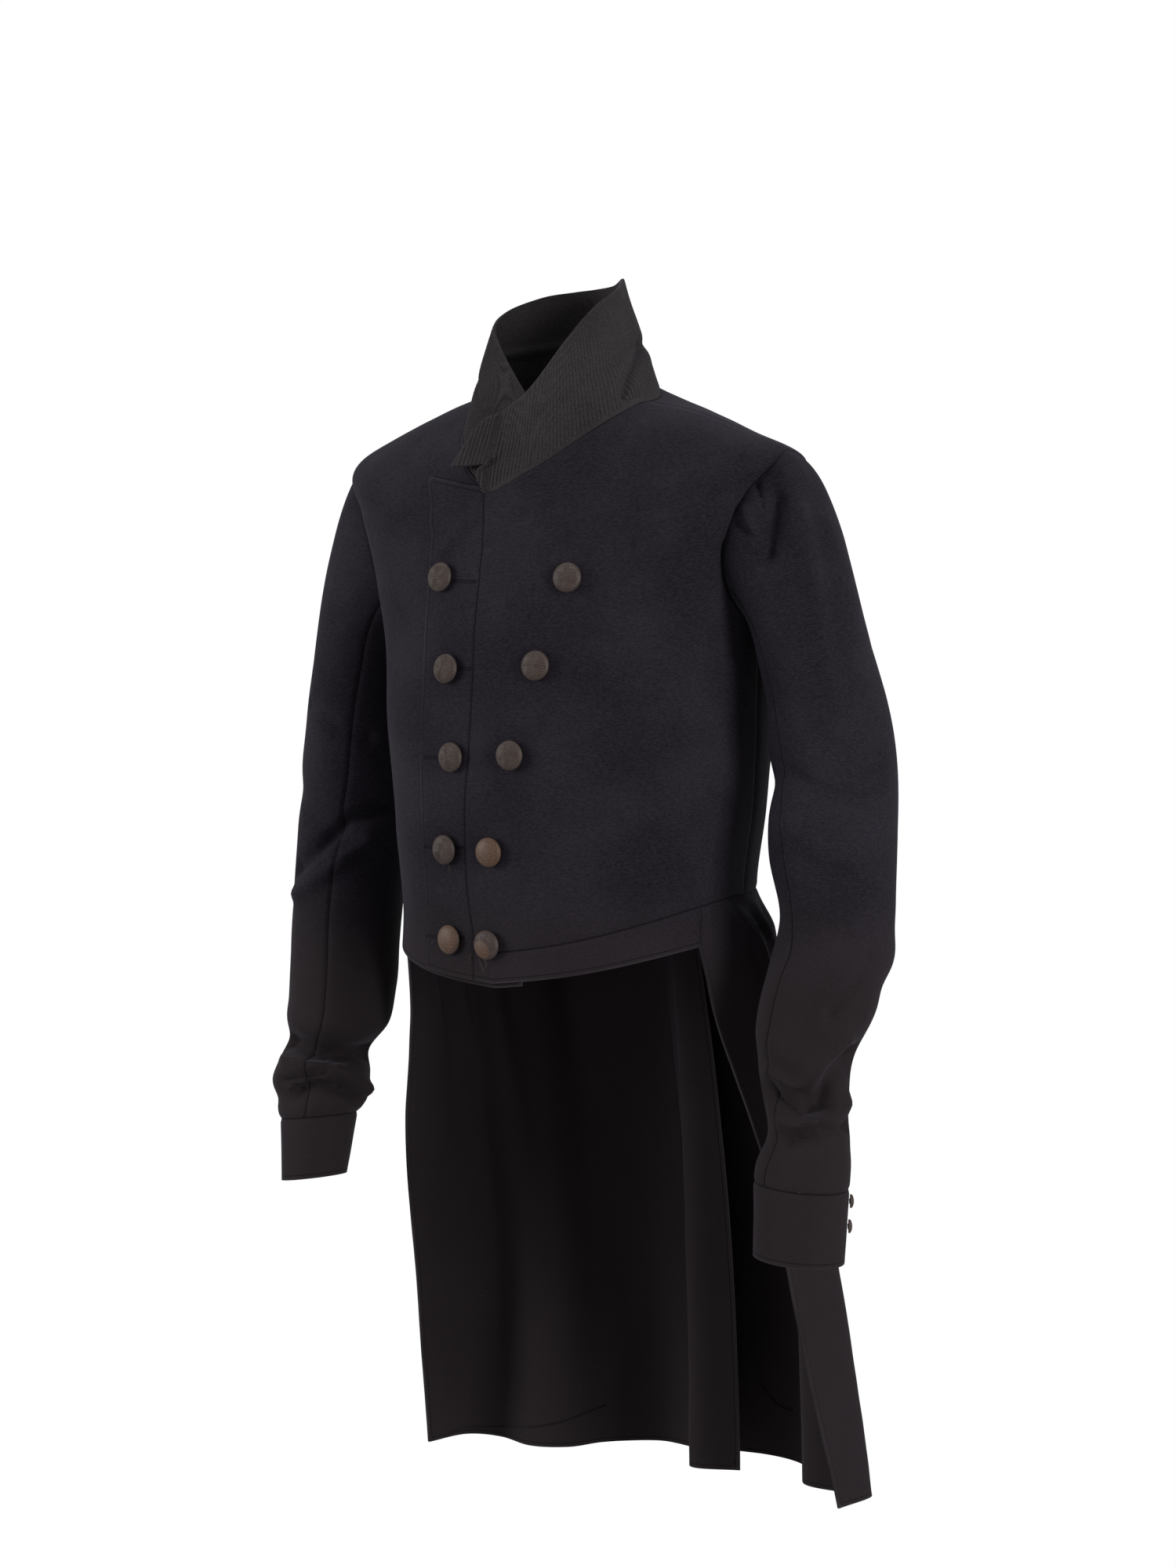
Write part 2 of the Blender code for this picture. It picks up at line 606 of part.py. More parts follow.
def tail_grid(side, band_outer):
    """Outer points of a tail, rows from the waist seam down to the hem."""
    angles = tail_angles(side)
    across = (angles - angles[0]) / (180.0 - angles[0])
    hem = np.array(LEFT_HEM if side > 0 else RIGHT_HEM)
    plan = through(hem[:, 0], hem[:, 1:], across)
    top = waist_points(angles, side)[0]
    flap_angles, flap_plan = vent_columns(side)
    angles = np.concatenate([angles, flap_angles])
    across = np.concatenate([across, np.ones(len(flap_angles))])
    plan = np.concatenate([plan, flap_plan]) * (side, 1)
    inset = VENT_INSET * smooth_step(angles, 180.0 - VENT_RAMP, 180.0) * (side < 0)
    level = np.zeros_like(flap_angles)
    flap_top = bodice(flap_angles * side, level)
    top = np.concatenate([top, flap_top])
    top -= bodice_normal(angles * side, np.zeros_like(angles)) * inset[:, None]
    corner = band_outer[-1, -1]
    edge = tail_edge(corner, side)
    outward = unit((top - (0, BACK_CENTRE, 0)) * (1, 1, 0))
    rows = []
    for row in range(BAND_ROWS + TAIL_ROWS + 1):
        if row <= BAND_ROWS:
            front = band_outer[row, -1]
        else:
            z = corner[2] + (TAIL_HEM_Z - corner[2]) * (row - BAND_ROWS) / TAIL_ROWS
            front = through(-edge[:, 2], edge, [-z])[0]
        drop = (top[0, 2] - front[2]) / (top[0, 2] - TAIL_HEM_Z)
        blend = drop * (1 + TAIL_FLARE * (1 - drop))
        line = np.column_stack([top[:, :2] * (1 - blend) + plan * blend, top[:, 2]])
        line[:, 2] += (TAIL_HEM_Z - top[:, 2]) * drop
        line += (front - line[0]) * (1 - smooth_step(across, 0, EDGE_REACH))[:, None]
        swell = smooth_step(drop, 0, PLEAT_GROWTH) * (1 - smooth_step(drop, PLEAT_GROWTH, PLEAT_FADE))
        for pleat in PLEATS:
            bump = np.exp(-(((across - pleat.across) / pleat.width) ** 2))
            line += outward * (pleat.depth * swell * bump)[:, None]
        rows.append(line)
    return np.array(rows)


def skirt(name, side, material):
    """Band and tail in one piece, the right one with its vent flap."""
    band_outer, band_inner = band_grids(side)
    tail_outer = tail_grid(side, band_outer)
    tail_inner = tail_outer + grid_normals(tail_outer) * WALL * side
    own = len(tail_angles(side))
    solid = own if side > 0 else int(np.sum(tail_angles(side) < 180.0 - VENT_RAMP))
    tail_inner[0, :solid] = waist_points(tail_angles(side), side)[1][:solid]
    tail_inner[: BAND_ROWS + 1, 0] = band_inner[:, -1]
    down = np.array([0, 0, -SEAM_GAP / 2])
    band_outer[0] += down
    band_inner[0] += down
    tail_outer[0] += down
    tail_inner[0] += down
    if side > 0:
        band_outer, band_inner = (pulled_in(grid, ["left"]) for grid in (band_outer, band_inner))
        tail_outer, tail_inner = (pulled_in(grid, ["right"]) for grid in (tail_outer, tail_inner))
    return wall(name, [(band_outer, band_inner), (tail_outer, tail_inner)], material)


def neck_edge():
    """Angles and outer and inner points all round the neck seam, from the left front on."""
    fronts = {side: steps(front_edge(side)[-1], (NECK_POINT, 1.0), NECK_FRONT_ROWS) for side in (1, -1)}
    back = steps((NECK_POINT, 1.0), (180.0, 1.0), NECK_BACK_ROWS)
    left = np.concatenate([fronts[1], back[1:]])
    right = np.concatenate([fronts[-1], back[1:-1]])[::-1]
    points = []
    for cut, side in ((left, 1), (right, -1)):
        outer, inner = faces_of(cut, side)
        below = cut - (0, HEIGHT_STEP)
        rise = unit(outer - faces_of(below, side)[0]) * SEAM_GAP / 2
        points.append((outer + rise, inner + rise))
    angles = np.concatenate([left[:, 0], 360 - right[:, 0]])
    return angles, np.concatenate([points[0][0], points[1][0]]), np.concatenate([points[0][1], points[1][1]])


def collar_grids():
    """Outer points with their ribs, and plain inner points on every fourth column."""
    knots, neck_outer, neck_inner = neck_edge()
    cells = round((knots[-1] - knots[0]) / COLLAR_CELL_ANGLE)
    angles = np.linspace(knots[0], knots[-1], cells * RIBBED_STEPS + 1)
    table = np.array(COLLAR)
    top = through(table[:, 0], table[:, 1:], angles)
    low_outer, low_inner = on_polyline(angles, knots, neck_outer), on_polyline(angles, knots, neck_inner)
    front_end = np.array(COLLAR_END)
    rows = []
    for share in np.linspace(0, 1, COLLAR_ROWS + 1):
        line = low_outer + (top - low_outer) * share
        bulge = COLLAR_BULGE * math.sin(math.pi * share)
        ease = smooth_step(angles, 20.0, 70.0) * (1 - smooth_step(angles, 300.0, 335.0))
        line += unit((line - (0, COLLAR_CENTRE, 0)) * (1, 1, 0)) * (bulge * ease)[:, None]
        end = through(front_end[:, 0], front_end[:, 1:], [share])[0] if share > 0 else low_outer[0]
        weight = np.clip(1 - (angles - angles[0]) / COLLAR_END_REACH, 0, 1)
        line += (end - line[0]) * weight[:, None]
        rows.append(line)
    smooth = np.array(rows)
    normals = grid_normals(smooth)
    inner = smooth - normals * WALL
    inner[0] = low_inner
    ribbed = smooth.copy()
    ribbed[1:-1, 1::2] += normals[1:-1, 1::2] * RIB_RISE
    return ribbed, inner[:, ::RIBBED_STEPS]


def collar(material):
    """Stand and fall in one wall, its ribs raised on the outer side over a plain inside."""
    outer, inner = collar_grids()
    rows, columns = outer.shape[:2]
    coarse = inner.shape[1]
    count = rows * columns
    faces = []
    for row in range(rows - 1):
        for column in range(columns - 1):
            start = row * columns + column
            faces.append([start, start + 1, start + 1 + columns, start + columns])
        for column in range(coarse - 1):
            start = count + row * coarse + column
            faces.append([start, start + coarse, start + 1 + coarse, start + 1])
    for row, turned in ((0, False), (rows - 1, True)):
        for column in range(coarse - 1):
            fine = [row * columns + column * RIBBED_STEPS + step for step in range(RIBBED_STEPS + 1)]
            low = count + row * coarse + column
            face = fine[::-1] + [low, low + 1]
            faces.append(face[::-1] if turned else face)
    for column, low_column, turned in ((0, 0, False), (columns - 1, coarse - 1, True)):
        for row in range(rows - 1):
            a, b = row * columns + column, (row + 1) * columns + column
            c, d = count + (row + 1) * coarse + low_column, count + row * coarse + low_column
            faces.append([a, b, c, d] if not turned else [d, c, b, a])
    verts = np.concatenate([outer.reshape(-1, 3), inner.reshape(-1, 3)])
    return new_object("collar", verts, faces, material)


def ring_points(row, theta, tilt):
    """Points of one level section of a sleeve, theta turning from its front over its outer side."""
    turn = np.radians(theta)
    return np.stack(
        [row[1] + row[3] * np.sin(turn), row[2] - row[4] * np.cos(turn), row[0] - tilt * np.sin(turn)],
        axis=-1,
    )


def fold_height(folds, theta, z):
    """How far the folds raise or sink a sleeve at an angle and height."""
    total = np.zeros_like(theta)
    for fold in folds:
        turn = (theta - fold.angle + 180) % 360 - 180
        line = fold.z + fold.slant * np.radians(turn)
        across = (z - line) / fold.height
        reach = np.exp(-((turn / fold.width) ** 2))
        total -= fold.depth * reach * (np.exp(-(across**2)) - FOLD_RIDGE * np.exp(-((across - 2) ** 2)))
    return total


def seam_angle(side_column, z):
    """Angle of a sleeve's seam at a height."""
    table = np.array(SLEEVE_SEAMS)
    return through(-table[:, 0], table[:, side_column], [-z])[0]


def sleeve_angles(z):
    """Angles of a sleeve's columns at a height, evenly spaced on the top and the under piece."""
    front, hind = seam_angle(1, z), seam_angle(2, z)
    top = np.linspace(front, hind, HALF_SLEEVE_COLUMNS + 1)
    return np.concatenate([top, np.linspace(hind, front + 360, HALF_SLEEVE_COLUMNS + 1)[1:-1]])


def sleeve_grids(side):
    """Outer and inner points of a whole sleeve in its own positive x, rows from armhole to cuff."""
    arm = np.array(LEFT_ARM if side > 0 else RIGHT_ARM)
    folds = LEFT_FOLDS if side > 0 else RIGHT_FOLDS
    cuff = LEFT_CUFF if side > 0 else RIGHT_CUFF
    own = np.array([side, 1, 1])
    head_angles = HEAD_FRONT_SEAM + ARM_STEP * np.arange(2 * HALF_SLEEVE_COLUMNS)
    hole = armhole(90 - head_angles)
    outer, inner = faces_of(hole, side)
    middle = np.array([ARM_ANGLE, ARM_HEIGHT])
    toward = unit(faces_of(hole + (middle - hole) * INWARD_SHARE, side)[0] - outer) * SEAM_GAP / 2
    start, start_inner = (outer + toward) * own, (inner + toward) * own
    angles = sleeve_angles(arm[0, 0])
    end = ring_points(arm[0], angles, 0)
    sine, cosine = np.sin(np.radians(angles)), np.cos(np.radians(angles))
    out = np.array(HEAD_OUTWARD) * np.stack([np.ones_like(cosine), cosine, np.ones_like(cosine)], axis=-1)
    out *= (HEAD_REACH + HEAD_REACH_TOP * sine)[:, None]
    slope = (arm[1, 1:3] - arm[0, 1:3]) / (arm[0, 0] - arm[1, 0])
    down = np.array([slope[0], slope[1], -1.0]) * (ARM_REACH + ARM_REACH_TOP * sine)[:, None]
    rows = [start]
    for row in range(1, HEAD_RINGS + 1):
        u = row / HEAD_RINGS
        line = start * (1 + 2 * u) * (1 - u) ** 2 + out * u * (1 - u) ** 2
        rows.append(line + end * u**2 * (3 - 2 * u) + down * u**2 * (u - 1))
    for z in np.linspace(arm[0, 0], arm[-1, 0], ARM_ROWS + 1)[1:]:
        angles = sleeve_angles(z)
        ring = through(-arm[:, 0], arm, [-z])[0]
        ease = smooth_step(-z, -arm[0, 0], -arm[0, 0] + FOLD_EASE_TOP)
        ease *= 1 - smooth_step(-z, -arm[-1, 0] - FOLD_EASE_CUFF, -arm[-1, 0])
        lift = fold_height(folds, angles, z) * ease
        line = ring_points(ring, angles, cuff.slant * smooth_step(-z, -ELBOW_Z, -arm[-1, 0]))
        turn = np.radians(angles)
        line += np.stack([np.sin(turn), -np.cos(turn), 0 * turn], axis=-1) * lift[:, None]
        rows.append(line)
    outer = np.array(rows)
    inner = outer + grid_normals(outer, wrapped=True) * WALL
    inner[0] = start_inner
    return outer, inner


def sleeve(word, side, material):
    """Top and under piece of a sleeve, and the ring of points that its cuff starts from."""
    own = np.array([side, 1, 1])
    outer, inner = (grid * own for grid in sleeve_grids(side))
    half = HALF_SLEEVE_COLUMNS
    top = [grid[:, : half + 1] for grid in (outer, inner)]
    under = [np.concatenate([grid[:, half:], grid[:, :1]], axis=1) for grid in (outer, inner)]
    for name, grids in ((word + "_top_sleeve", top), (word + "_under_sleeve", under)):
        wall(name, [tuple(pulled_in(grid, ["left", "right", "top"]) for grid in grids)], material)
    return outer[-1], inner[-1]


def cuff_size(side):
    """Last ring of a sleeve, the lower ring of its cuff, and how far both slant."""
    size = LEFT_CUFF if side > 0 else RIGHT_CUFF
    arm = LEFT_ARM[-1] if side > 0 else RIGHT_ARM[-1]
    return arm, Ring(size.end_z, size.end_x, size.end_y, size.end_half_x, size.end_half_y), size.slant


def cuff(word, side, start, material):
    """Cuff under a sleeve, from the sleeve's last outer and inner points."""
    arm, lower, slant = cuff_size(side)
    end = ring_points(lower, sleeve_angles(arm.z), slant) * (side, 1, 1)
    outer, inner = start
    down = np.array([0, 0, -SEAM_GAP / 2])
    rows = [outer + down] + [outer + (end - outer) * share for share in steps(0, 1, CUFF_ROWS)[1:]]
    outer_grid = np.array(rows)
    inner_grid = outer_grid + grid_normals(outer_grid, wrapped=True) * WALL * side
    inner_grid[0] = inner + down
    wall(word + "_cuff", [(outer_grid, inner_grid)], material, wrapped=True)


def surface_place(x, z):
    """(angle, height) of the bodice's point with the given x and z, by a few Newton steps."""
    waist, breast = LEVELS[1], LEVELS[4]
    height = breast.height * (z - waist.z_front) / (breast.z_front - waist.z_front)
    place = np.array([math.degrees(math.asin(x / waist.half_left)), height])
    for _ in range(NEWTON_STEPS):
        here = bodice(*place)[[0, 2]]
        slope_angle = (bodice(place[0] + ANGLE_TRIAL, place[1])[[0, 2]] - here) / ANGLE_TRIAL
        slope_height = (bodice(place[0], place[1] + HEIGHT_TRIAL)[[0, 2]] - here) / HEIGHT_TRIAL
        slopes = np.column_stack([slope_angle, slope_height])
        place = place + np.linalg.solve(slopes, np.array([x, z]) - here)
    return place


def button_mesh(scale, material):
    """Domed button on a short shank, turned about +Z."""
    mesh = bpy.data.meshes.new("button_profile")
    profile = [(reach * scale, 0, rise * scale) for reach, rise in BUTTON_PROFILE]
    mesh.from_pydata(profile, [(i, i + 1) for i in range(len(profile) - 1)], [])
    mesh.materials.append(material)
    return mesh


def button(name, mesh, point, outward):
    """Button whose shank stands just off the cloth at the point."""
    obj = bpy.data.objects.new(name, mesh)
    obj.location = Vector(point + outward * SEAM_GAP)
    obj.rotation_euler = Vector(outward).to_track_quat("Z", "Y").to_euler()
    screw = obj.modifiers.new("turn", "SCREW")
    screw.steps = screw.render_steps = BUTTON_SIDES
    screw.use_merge_vertices = True
    screw.merge_threshold = 0.00005
    screw.use_smooth_shade = True
    bpy.data.collections[COLLECTION].objects.link(obj)


def front_buttons(material):
    """Two rows of five on the left front and its strip."""
    mesh = button_mesh(1.0, material)
    for word, places in (("edge", EDGE_BUTTONS), ("breast", BREAST_BUTTONS)):
        for number, place in enumerate(places, 1):
            angle, height = surface_place(place.x, place.z)
            outward = bodice_normal(angle, height)
            point = bodice(angle, height) + outward * overlap_lift(np.array(angle), 1)
            button("%s_button_%d" % (word, number), mesh, point, outward)


def cuff_buttons(material):
    """Two small buttons on each cuff, at the hind seam."""
    mesh = button_mesh(CUFF_BUTTON_SCALE, material)
    turn = np.array(CUFF_BUTTON_ANGLE)
    sine, cosine = np.sin(np.radians(turn)), np.cos(np.radians(turn))
    for word, side in (("left", 1), ("right", -1)):
        arm, lower, slant = cuff_size(side)
        top, end = (ring_points(ring, turn, slant) for ring in (arm, lower))
        for number, share in enumerate(CUFF_BUTTON_SHARES, 1):
            point = (top + (end - top) * share) * (side, 1, 1)
            button("%s_cuff_button_%d" % (word, number), mesh, point, np.array([sine * side, -cosine, 0]))


def finish(name, color, roughness):
    """Plain finish with one colour."""
    material = bpy.data.materials.new(name)
    material.use_nodes = True
    shader = material.node_tree.nodes["Principled BSDF"]
    shader.inputs["Base Color"].default_value = (*color, 1)
    shader.inputs["Roughness"].default_value = roughness
    shader.inputs["Metallic"].default_value = 0
    return material


def bodice_panels(material):
    """Fronts, strip, side bodies and backs."""
    for word, side in (("left", 1), ("right", -1)):
        edge = ["left"] if side > 0 else []
        bodice_panel(word + "_front", front_cut(side), side, ["right", "top", "bottom"] + edge, material)
        bodice_panel(word + "_side_body", side_cut(), side, ["left", "right", "top", "bottom"], material)
        bodice_panel(word + "_back", back_cut(), side, ["left", "right", "top", "bottom"], material)
    bodice_panel("lapel_strip", strip_cut(), 1, ["right"], material)


def main():
    for obj in list(bpy.data.objects):
        bpy.data.objects.remove(obj)
    bpy.context.scene.collection.children.link(bpy.data.collections.new(COLLECTION))
    cloth = finish("wool", CLOTH, 0.8)
    thread = finish("button_thread", THREAD, 0.6)
    bodice_panels(cloth)
    for word, side in (("left", 1), ("right", -1)):
        skirt(word + "_skirt", side, cloth)
        cuff(word, side, sleeve(word, side, cloth), cloth)
    collar(finish("collar_wool", COLLAR_CLOTH, 0.85))
    front_buttons(thread)
    cuff_buttons(thread)


main()
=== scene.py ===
"""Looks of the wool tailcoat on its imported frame: fine cloth, creases, ribs, buttons and light.

Metres, +Z up. The wearer faces -Y and their left arm is at +X. Angles turn from the front centre
over the wearer's left side, and a height runs from 0 at the waist seam to 1 at the neck seam.
Picture places are (x, y) in the photograph's frame, 1500 wide and 2000 high.
"""

import json
import math
from collections import namedtuple

import bmesh
import bpy
import numpy as np
from mathutils import Matrix, Vector, noise
from mathutils.bvhtree import BVHTree

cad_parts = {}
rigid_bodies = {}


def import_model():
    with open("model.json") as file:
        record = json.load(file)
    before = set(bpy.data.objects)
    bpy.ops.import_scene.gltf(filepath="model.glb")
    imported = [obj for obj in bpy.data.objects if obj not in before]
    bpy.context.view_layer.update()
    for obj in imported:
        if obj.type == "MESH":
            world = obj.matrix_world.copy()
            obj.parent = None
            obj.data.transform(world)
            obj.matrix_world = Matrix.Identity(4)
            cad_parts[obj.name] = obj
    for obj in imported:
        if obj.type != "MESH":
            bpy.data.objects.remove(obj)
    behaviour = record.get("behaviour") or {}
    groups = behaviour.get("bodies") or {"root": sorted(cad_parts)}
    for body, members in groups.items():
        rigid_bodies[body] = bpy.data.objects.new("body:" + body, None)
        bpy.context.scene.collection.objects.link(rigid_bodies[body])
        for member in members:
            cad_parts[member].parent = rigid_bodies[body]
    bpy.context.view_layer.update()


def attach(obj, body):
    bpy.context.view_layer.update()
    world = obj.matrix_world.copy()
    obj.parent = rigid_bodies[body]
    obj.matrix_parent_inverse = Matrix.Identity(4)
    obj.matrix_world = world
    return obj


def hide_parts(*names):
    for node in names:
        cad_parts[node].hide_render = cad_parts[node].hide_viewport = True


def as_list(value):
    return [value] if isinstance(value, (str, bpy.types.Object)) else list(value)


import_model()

# Camera of the photograph, level and 33 degrees round to the wearer's left
AZIMUTH = math.radians(33.0)
DISTANCE = 2.40
FOCAL_PIXELS = 3636.0
FRAME_SIZE = (1500.0, 2000.0)
CAMERA_ACROSS = 0.018
CAMERA_HEIGHT = -0.300
SENSOR = 36.0

# Fine grids have this many times the rows and columns of the solids
DETAIL = 8
SHARP_ANGLE = math.radians(50)

# Cloth and seams, which are closed here so that no light comes through
WALL = 0.002
SEAM_GAP = 0.00003
HALF_GAP_DOWN = np.array([0, 0, -SEAM_GAP / 2])
WELD_DIGITS = 7
SIDES = (("left", 1), ("right", -1))
OVERLAP_LIFT = 0.0036
ANGLE_STEP = 0.5
HEIGHT_STEP = 0.004

# Sections of the bodice, from the hem of the band up to the neck seam
Level = namedtuple(
    "Level", "height half_left half_right front back z_front z_side z_back y_side raise_right square"
)
LEVELS = [
    Level(-0.14, 0.159, 0.157, -0.106, 0.152, -0.4885, -0.456, -0.436, 0.018, 0.000, 2.25),
    Level(0.00, 0.155, 0.153, -0.105, 0.141, -0.437, -0.391, -0.375, 0.018, 0.000, 2.25),
    Level(0.17, 0.165, 0.157, -0.114, 0.143, -0.360, -0.320, -0.300, 0.017, 0.000, 2.25),
    Level(0.37, 0.172, 0.163, -0.120, 0.149, -0.262, -0.228, -0.215, 0.015, 0.000, 2.25),
    Level(0.50, 0.175, 0.168, -0.118, 0.151, -0.198, -0.168, -0.160, 0.015, 0.001, 2.25),
    Level(0.63, 0.185, 0.182, -0.113, 0.149, -0.147, -0.112, -0.112, 0.015, 0.006, 2.30),
    Level(0.76, 0.199, 0.199, -0.108, 0.139, -0.107, -0.060, -0.066, 0.013, 0.016, 2.35),
    Level(0.84, 0.206, 0.204, -0.105, 0.126, -0.091, -0.031, -0.032, 0.008, 0.022, 2.40),
    Level(0.90, 0.165, 0.160, -0.104, 0.108, -0.080, -0.012, -0.002, 0.000, 0.021, 2.45),
    Level(0.95, 0.128, 0.106, -0.104, 0.085, -0.071, 0.004, 0.028, -0.014, 0.018, 2.50),
    Level(1.00, 0.0935, 0.053, -0.105, 0.058, -0.063, 0.012, 0.053, -0.030, 0.018, 2.55),
]
LOOP_SOFTNESS = 0.4

# Seams of the bodice, as angles in degrees
STRIP_CORNER_HEIGHT = 0.935
EdgePlace = namedtuple("EdgePlace", "height angle")
LEFT_FRONT_EDGE = [
    EdgePlace(-0.10, -7.2),
    EdgePlace(0.00, -7.0),
    EdgePlace(0.12, -8.0),
    EdgePlace(0.25, -7.0),
    EdgePlace(0.37, -4.5),
    EdgePlace(0.55, -3.4),
    EdgePlace(0.75, -2.6),
    EdgePlace(0.90, -3.6),
    EdgePlace(1.00, -6.8),
]
RIGHT_FRONT_EDGE = [
    EdgePlace(-0.10, -9.0),
    EdgePlace(0.60, -9.0),
    EdgePlace(0.85, -4.0),
    EdgePlace(1.00, 6.8),
]
STRIP_EDGE = [
    EdgePlace(-0.10, -27.2),
    EdgePlace(0.00, -27.0),
    EdgePlace(0.20, -25.2),
    EdgePlace(0.40, -22.7),
    EdgePlace(0.60, -20.2),
    EdgePlace(0.72, -18.2),
    EdgePlace(0.80, -17.6),
    EdgePlace(0.86, -19.2),
    EdgePlace(0.90, -23.6),
    EdgePlace(STRIP_CORNER_HEIGHT, -32.2),
]
SIDE_SEAM_WAIST = 97.0
BACK_SEAM_WAIST = 165.0
BACK_SEAM_CURVE = 8.0
NECK_POINT = 97.0
TAIL_CORNER = 69.0
LIFT_START = 14.0
LIFT_END = 32.0

# Armhole, an oval in angle and height; its own angle starts at the shoulder and turns forward
ARM_ANGLE = 93.0
ARM_FORWARD = 27.0
ARM_BACKWARD = 29.0
ARM_HEIGHT = 0.67
ARM_HALF_HEIGHT = 0.17
ARM_STEP = 18.0 / DETAIL
ARM_FRONT_STEPS = 10 * DETAIL
ARM_SIDE_STEPS = 4 * DETAIL
ARM_BACK_STEPS = 6 * DETAIL

# Grids of the bodice
SIDE_ROWS = 7 * DETAIL
EDGE_ROWS = 5 * DETAIL
NECK_FRONT_ROWS = 5 * DETAIL
CENTRE_BACK_ROWS = 3 * DETAIL
NECK_BACK_ROWS = 3 * DETAIL
CORNER_STATION = 7 * DETAIL
CORNER_SHARE = 0.72
FRONT_STATIONS = np.concatenate(
    [np.linspace(0, CORNER_SHARE, CORNER_STATION + 1), np.linspace(CORNER_SHARE, 1, 3 * DETAIL + 1)[1:]]
)
STRIP_RIM = 0.12
STRIP_RIM_COLUMNS = 12
STRIP_COLUMNS = 32
STRIP_STATIONS = np.concatenate(
    [np.linspace(0, STRIP_RIM, STRIP_RIM_COLUMNS + 1), np.linspace(STRIP_RIM, 1, STRIP_COLUMNS + 1)[1:]]
)

# Band under the waist seam: how far its hem lies below the seam, in units of height
BAND_FRONT = 0.066
BAND_CORNER = 0.072
RIGHT_BAND_EXTRA = 0.010
BAND_ROWS = 2 * DETAIL

# Tails: front edge and hem, the right one in its own mirrored x
TAIL_HEM_Z = -0.900
TAIL_ROWS = 13 * DETAIL
Edge = namedtuple("Edge", "x y z")
TAIL_FRONT_EDGE = [
    Edge(0.1550, -0.012, -0.495),
    Edge(0.1640, -0.002, -0.532),
    Edge(0.1780, 0.012, -0.587),
    Edge(0.1970, 0.056, -0.765),
    Edge(0.2110, 0.090, TAIL_HEM_Z),
]
Hem = namedtuple("Hem", "across x y")
LEFT_HEM = [
    Hem(0.00, 0.211, 0.090),
    Hem(0.16, 0.212, 0.146),
    Hem(0.27, 0.180, 0.142),
    Hem(0.38, 0.150, 0.147),
    Hem(0.56, 0.118, 0.205),
    Hem(0.66, 0.097, 0.219),
    Hem(0.78, 0.064, 0.2255),
    Hem(0.87, 0.038, 0.223),
    Hem(1.00, 0.002, 0.221),
]
RIGHT_HEM = [
    Hem(0.00, 0.218, 0.100),
    Hem(0.14, 0.206, 0.147),
    Hem(0.26, 0.172, 0.153),
    Hem(0.38, 0.130, 0.139),
    Hem(0.50, 0.100, 0.152),
    Hem(0.64, 0.083, 0.186),
    Hem(0.80, 0.045, 0.219),
    Hem(1.00, 0.000, 0.214),
]
TAIL_SIDE_COLUMNS = 12 * DETAIL
TAIL_BACK_COLUMNS = 3 * DETAIL
TAIL_FLARE = 0.95
EDGE_REACH = 0.30
BACK_CENTRE = 0.018
Pleat = namedtuple("Pleat", "across width depth")
PLEATS = [
    Pleat(0.20, 0.045, 0.013),
    Pleat(0.33, 0.045, 0.011),
    Pleat(0.47, 0.050, 0.010),
    Pleat(0.66, 0.050, 0.008),
]
PLEAT_GROWTH = 0.07
PLEAT_FADE = 0.60
VENT_COLUMNS = 4 * DETAIL
VENT_ANGLE = 14.0
VENT_RAMP = 6.0
VENT_INSET = 0.0035
VENT_HEM = [
    Hem(0.0, 0.000, 0.214),
    Hem(0.3, -0.020, 0.180),
    Hem(0.6, -0.034, 0.149),
    Hem(1.0, -0.076, 0.1605),
]

# Collar: where each column starts on the neck seam, and its point on the upper edge
Column = namedtuple("Column", "angle x y z")
COLLAR = [
    Column(-6.8, -0.0420, -0.1085, -0.0405),
    Column(-3.0, -0.0290, -0.0980, -0.0125),
    Column(6.0, -0.0050, -0.0890, 0.0050),
    Column(16.0, 0.0105, -0.0790, 0.0195),
    Column(32.0, 0.0420, -0.0690, 0.0590),
    Column(50.0, 0.0590, -0.0460, 0.0915),
    Column(64.0, 0.0620, -0.0200, 0.1070),
    Column(80.0, 0.0530, 0.0030, 0.1190),
    Column(115.0, 0.0380, 0.0260, 0.1240),
    Column(150.0, 0.0200, 0.0440, 0.1240),
    Column(180.0, 0.0000, 0.0510, 0.1240),
    Column(210.0, -0.0200, 0.0425, 0.1220),
    Column(245.0, -0.0385, 0.0175, 0.1150),
    Column(275.0, -0.0530, -0.0135, 0.1000),
    Column(296.0, -0.0515, -0.0330, 0.0860),
    Column(316.0, -0.0360, -0.0480, 0.0670),
    Column(336.0, -0.0120, -0.0620, 0.0400),
    Column(353.2, 0.0140, -0.0725, 0.0110),
]
COLLAR_ROWS = 60
COLLAR_BULGE = 0.0015
BULGE_START = (20.0, 70.0)
BULGE_END = (300.0, 335.0)
COLLAR_CENTRE = -0.020
ROLL_SHARE = 0.43
ROLL_WIDTH = 0.055
ROLL_DEPTH = 0.0026
FLAP_COLUMNS = 80
COLLAR_COLUMNS = 500
FLAP_TURN = 30.0
RIB_PITCH = 0.0037
RIB_RISE = 0.0007
RIB_FADE_LOW = 0.006
RIB_FADE_HIGH = 0.003
COLLAR_END_REACH = 13.0
CollarEnd = namedtuple("CollarEnd", "share x y z")
COLLAR_END = [
    CollarEnd(0.0, -0.0110, -0.1080, -0.0620),
    CollarEnd(0.2, -0.0185, -0.1090, -0.0470),
    CollarEnd(0.4, -0.0045, -0.1070, -0.0400),
    CollarEnd(0.6, -0.0150, -0.1080, -0.0402),
    CollarEnd(0.8, -0.0280, -0.1085, -0.0404),
    CollarEnd(1.0, -0.0420, -0.1090, -0.0405),
]

